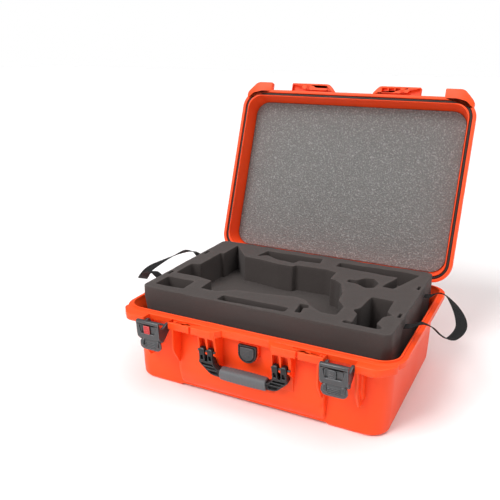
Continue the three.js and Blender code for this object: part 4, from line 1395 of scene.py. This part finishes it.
class BuildValve(BuildStep):
    """Builds the pressure valve: D-shaped body with a raised rim, cap, seal, nut and membrane"""

    bl_idname = "case.valve"
    bl_label = "Valve"

    def make(self, colours, sizes):
        window = [dome_shape(15.4, VALVE_Z)]
        rim = plate(dome_shape(18.5, VALVE_Z), -195.4, -191, holes=window, bevel=(1.0, 0), plane="xz")
        back = plate(dome_shape(17.5, VALVE_Z), -193.2, -191.0, bevel=0.2, plane="xz")
        stem = sweep(oval(5.6, 5.6, 2, 28), [(0, -192, VALVE_Z), (0, -182, VALVE_Z), (0, -172.6, VALVE_Z)], (1, 0, 0))
        put("valve_body", [rim, back, stem], hardware_plastic(), "base", ["valve_housing"])
        cap = [plate(dome_shape(14, VALVE_Z), -196.6, -192.8, bevel=(1.2, 0), plane="xz")]
        for k in range(3):
            bar = rounded_rect(6.5, 0.9, 0.8, 0, VALVE_Z - 4 + 5 * k, 5)
            cap.append(plate(bar, -197.2, -196.2, bevel=(0.5, 0), plane="xz"))
        put("valve_cap", cap, valve_rubber(), "base", ["valve_cover"])
        ring = [(0, -191.3, VALVE_Z), (0, -190.3, VALVE_Z)]
        washer = sweep(oval(10, 10, 2, 32), ring, (1, 0, 0))
        put("valve_washer", [washer], seal_rubber(), "base", ["valve_seal"])
        nut = plate(eased(oval(10, 10, 2, 6), 1.2, 3)[0] + (0, VALVE_Z), -176.9, -173.4, bevel=0.6, plane="xz")
        put("valve_hex", [nut], hardware_plastic(), "base", ["valve_nut"])
        film = plate(disc(2.9, 0, VALVE_Z, 20), -181, -180, bevel=0.2, plane="xz")
        put("valve_film", [film], seal_rubber(), "base", ["valve_membrane"])


CAMERA_AT = (0.4662, -1.1086, 0.6456)
CAMERA_TURN = (26.77, 18.18, 0.25)  # azimuth, elevation and roll, in degrees
CAMERA_LENS, SENSOR = 45.742, 36.0
ROOM_LIGHT = 0.32


class BuildStage(BuildStep):
    """Lays the floor and sets the lights and the camera"""

    bl_idname = "case.stage"
    bl_label = "Stage"

    def make(self, colours, sizes):
        scene = bpy.context.scene
        scene.view_settings.view_transform = "Standard"
        mesh = bpy.data.meshes.new("floor")
        half = 12.0
        mesh.from_pydata([(-half, -half, 0), (half, -half, 0), (half, half, 0), (-half, half, 0)], [], [(0, 1, 2, 3)])
        floor = bpy.data.objects.new("floor", mesh)
        scene.collection.objects.link(floor)
        c = tuple(colours.floor)
        matte = plastic("Studio Floor", c, c, c, 0.7, grain=60, bump=0.0, drift=0.0, edge_highlight=0.0, scratch=0.0, level=0.2)
        mesh.materials.append(matte)
        self.sun("key", (-0.55, -1.0, 1.25), 28, 1.9)
        self.sun("fill", (1.0, -0.35, 0.8), 50, 0.45)
        self.sun("top", (0.15, 0.25, 1.0), 60, 1.25)
        self.panel("softbox", (-0.9, -1.9, 1.3), (0, 0, 0.15), 1.3, 14)
        self.world(scene)
        self.camera(scene)

    def world(self, scene):
        """A pale room: dim for lighting, white where the camera looks past the floor."""
        world = bpy.data.worlds.new("studio")
        world.use_nodes = True
        net = Net(world.node_tree)
        room = world.node_tree.nodes["Background"]
        seen = net.add("ShaderNodeLightPath").outputs["Is Camera Ray"]
        strength = net.math("ADD", ROOM_LIGHT, net.math("MULTIPLY", seen, 1 - ROOM_LIGHT))
        room.inputs["Color"].default_value = (1, 1, 1, 1)
        net.set(room.inputs["Strength"], strength)
        scene.world = world

    def sun(self, name, toward, spread, strength):
        """A sun that shines from the way toward, spread over an angle in degrees."""
        data = bpy.data.lights.new(name, "SUN")
        data.angle, data.energy = math.radians(spread), strength
        lamp = bpy.data.objects.new(name, data)
        lamp.rotation_euler = Vector(toward).to_track_quat("Z", "Y").to_euler()
        bpy.context.scene.collection.objects.link(lamp)

    def panel(self, name, at, to, size, power):
        """A square area lamp at one place that faces another."""
        data = bpy.data.lights.new(name, "AREA")
        data.size, data.energy = size, power
        lamp = bpy.data.objects.new(name, data)
        lamp.location = at
        lamp.rotation_euler = (Vector(to) - Vector(at)).to_track_quat("-Z", "Y").to_euler()
        bpy.context.scene.collection.objects.link(lamp)

    def camera(self, scene):
        """The camera, turned by azimuth, elevation and roll about its own place."""
        azimuth, elevation, roll = (math.radians(a) for a in CAMERA_TURN)
        flat = math.cos(elevation)
        back = Vector((math.sin(azimuth) * flat, -math.cos(azimuth) * flat, math.sin(elevation)))
        level = Vector((math.cos(azimuth), math.sin(azimuth), 0))
        up = back.cross(level)
        right = level * math.cos(roll) + up * math.sin(roll)
        up = back.cross(right)
        data = bpy.data.cameras.new("camera")
        data.lens, data.sensor_width = CAMERA_LENS, SENSOR
        camera = bpy.data.objects.new("camera", data)
        turn = camera.matrix_world.copy()
        for k, axis in enumerate((right, up, back)):
            for row in range(3):
                turn[row][k] = axis[row]
        turn.translation = CAMERA_AT
        camera.matrix_world = turn
        scene.collection.objects.link(camera)
        scene.camera = camera


STEPS = (
    BuildStage, BuildStraps, BuildBaseShell, BuildLidShell, BuildGasket, BuildLidFoam, BuildBadge, BuildTray,
    BuildHandle, BuildHinges, BuildLatches, BuildValve,
)


class CasePanel(bpy.types.Panel):
    """Lists the sizes, colours and building steps of the case"""

    bl_idname = "VIEW3D_PT_drone_case"
    bl_label = "Drone Carrying Case"
    bl_space_type = "VIEW_3D"
    bl_region_type = "UI"
    bl_category = "Case"

    def draw(self, context):
        for settings in (context.scene.case_colours, context.scene.case_sizes):
            box = self.layout.box()
            for key in settings.__annotations__:
                box.prop(settings, key)
        for step in STEPS:
            self.layout.operator(step.bl_idname)


CLASSES = (CaseColours, CaseSizes, *STEPS, CasePanel)


def register():
    """Adds the classes and their settings to Blender."""
    for cls in CLASSES:
        bpy.utils.register_class(cls)
    bpy.types.Scene.case_colours = bpy.props.PointerProperty(type=CaseColours)
    bpy.types.Scene.case_sizes = bpy.props.PointerProperty(type=CaseSizes)


def unregister():
    """Takes the classes and their settings out again."""
    del bpy.types.Scene.case_sizes
    del bpy.types.Scene.case_colours
    for cls in reversed(CLASSES):
        bpy.utils.unregister_class(cls)


def main():
    """Runs every step."""
    register()
    for step in STEPS:
        family, name = step.bl_idname.split(".")
        getattr(getattr(bpy.ops, family), name)()
    bpy.context.view_layer.update()


if __name__ == "__main__":
    main()
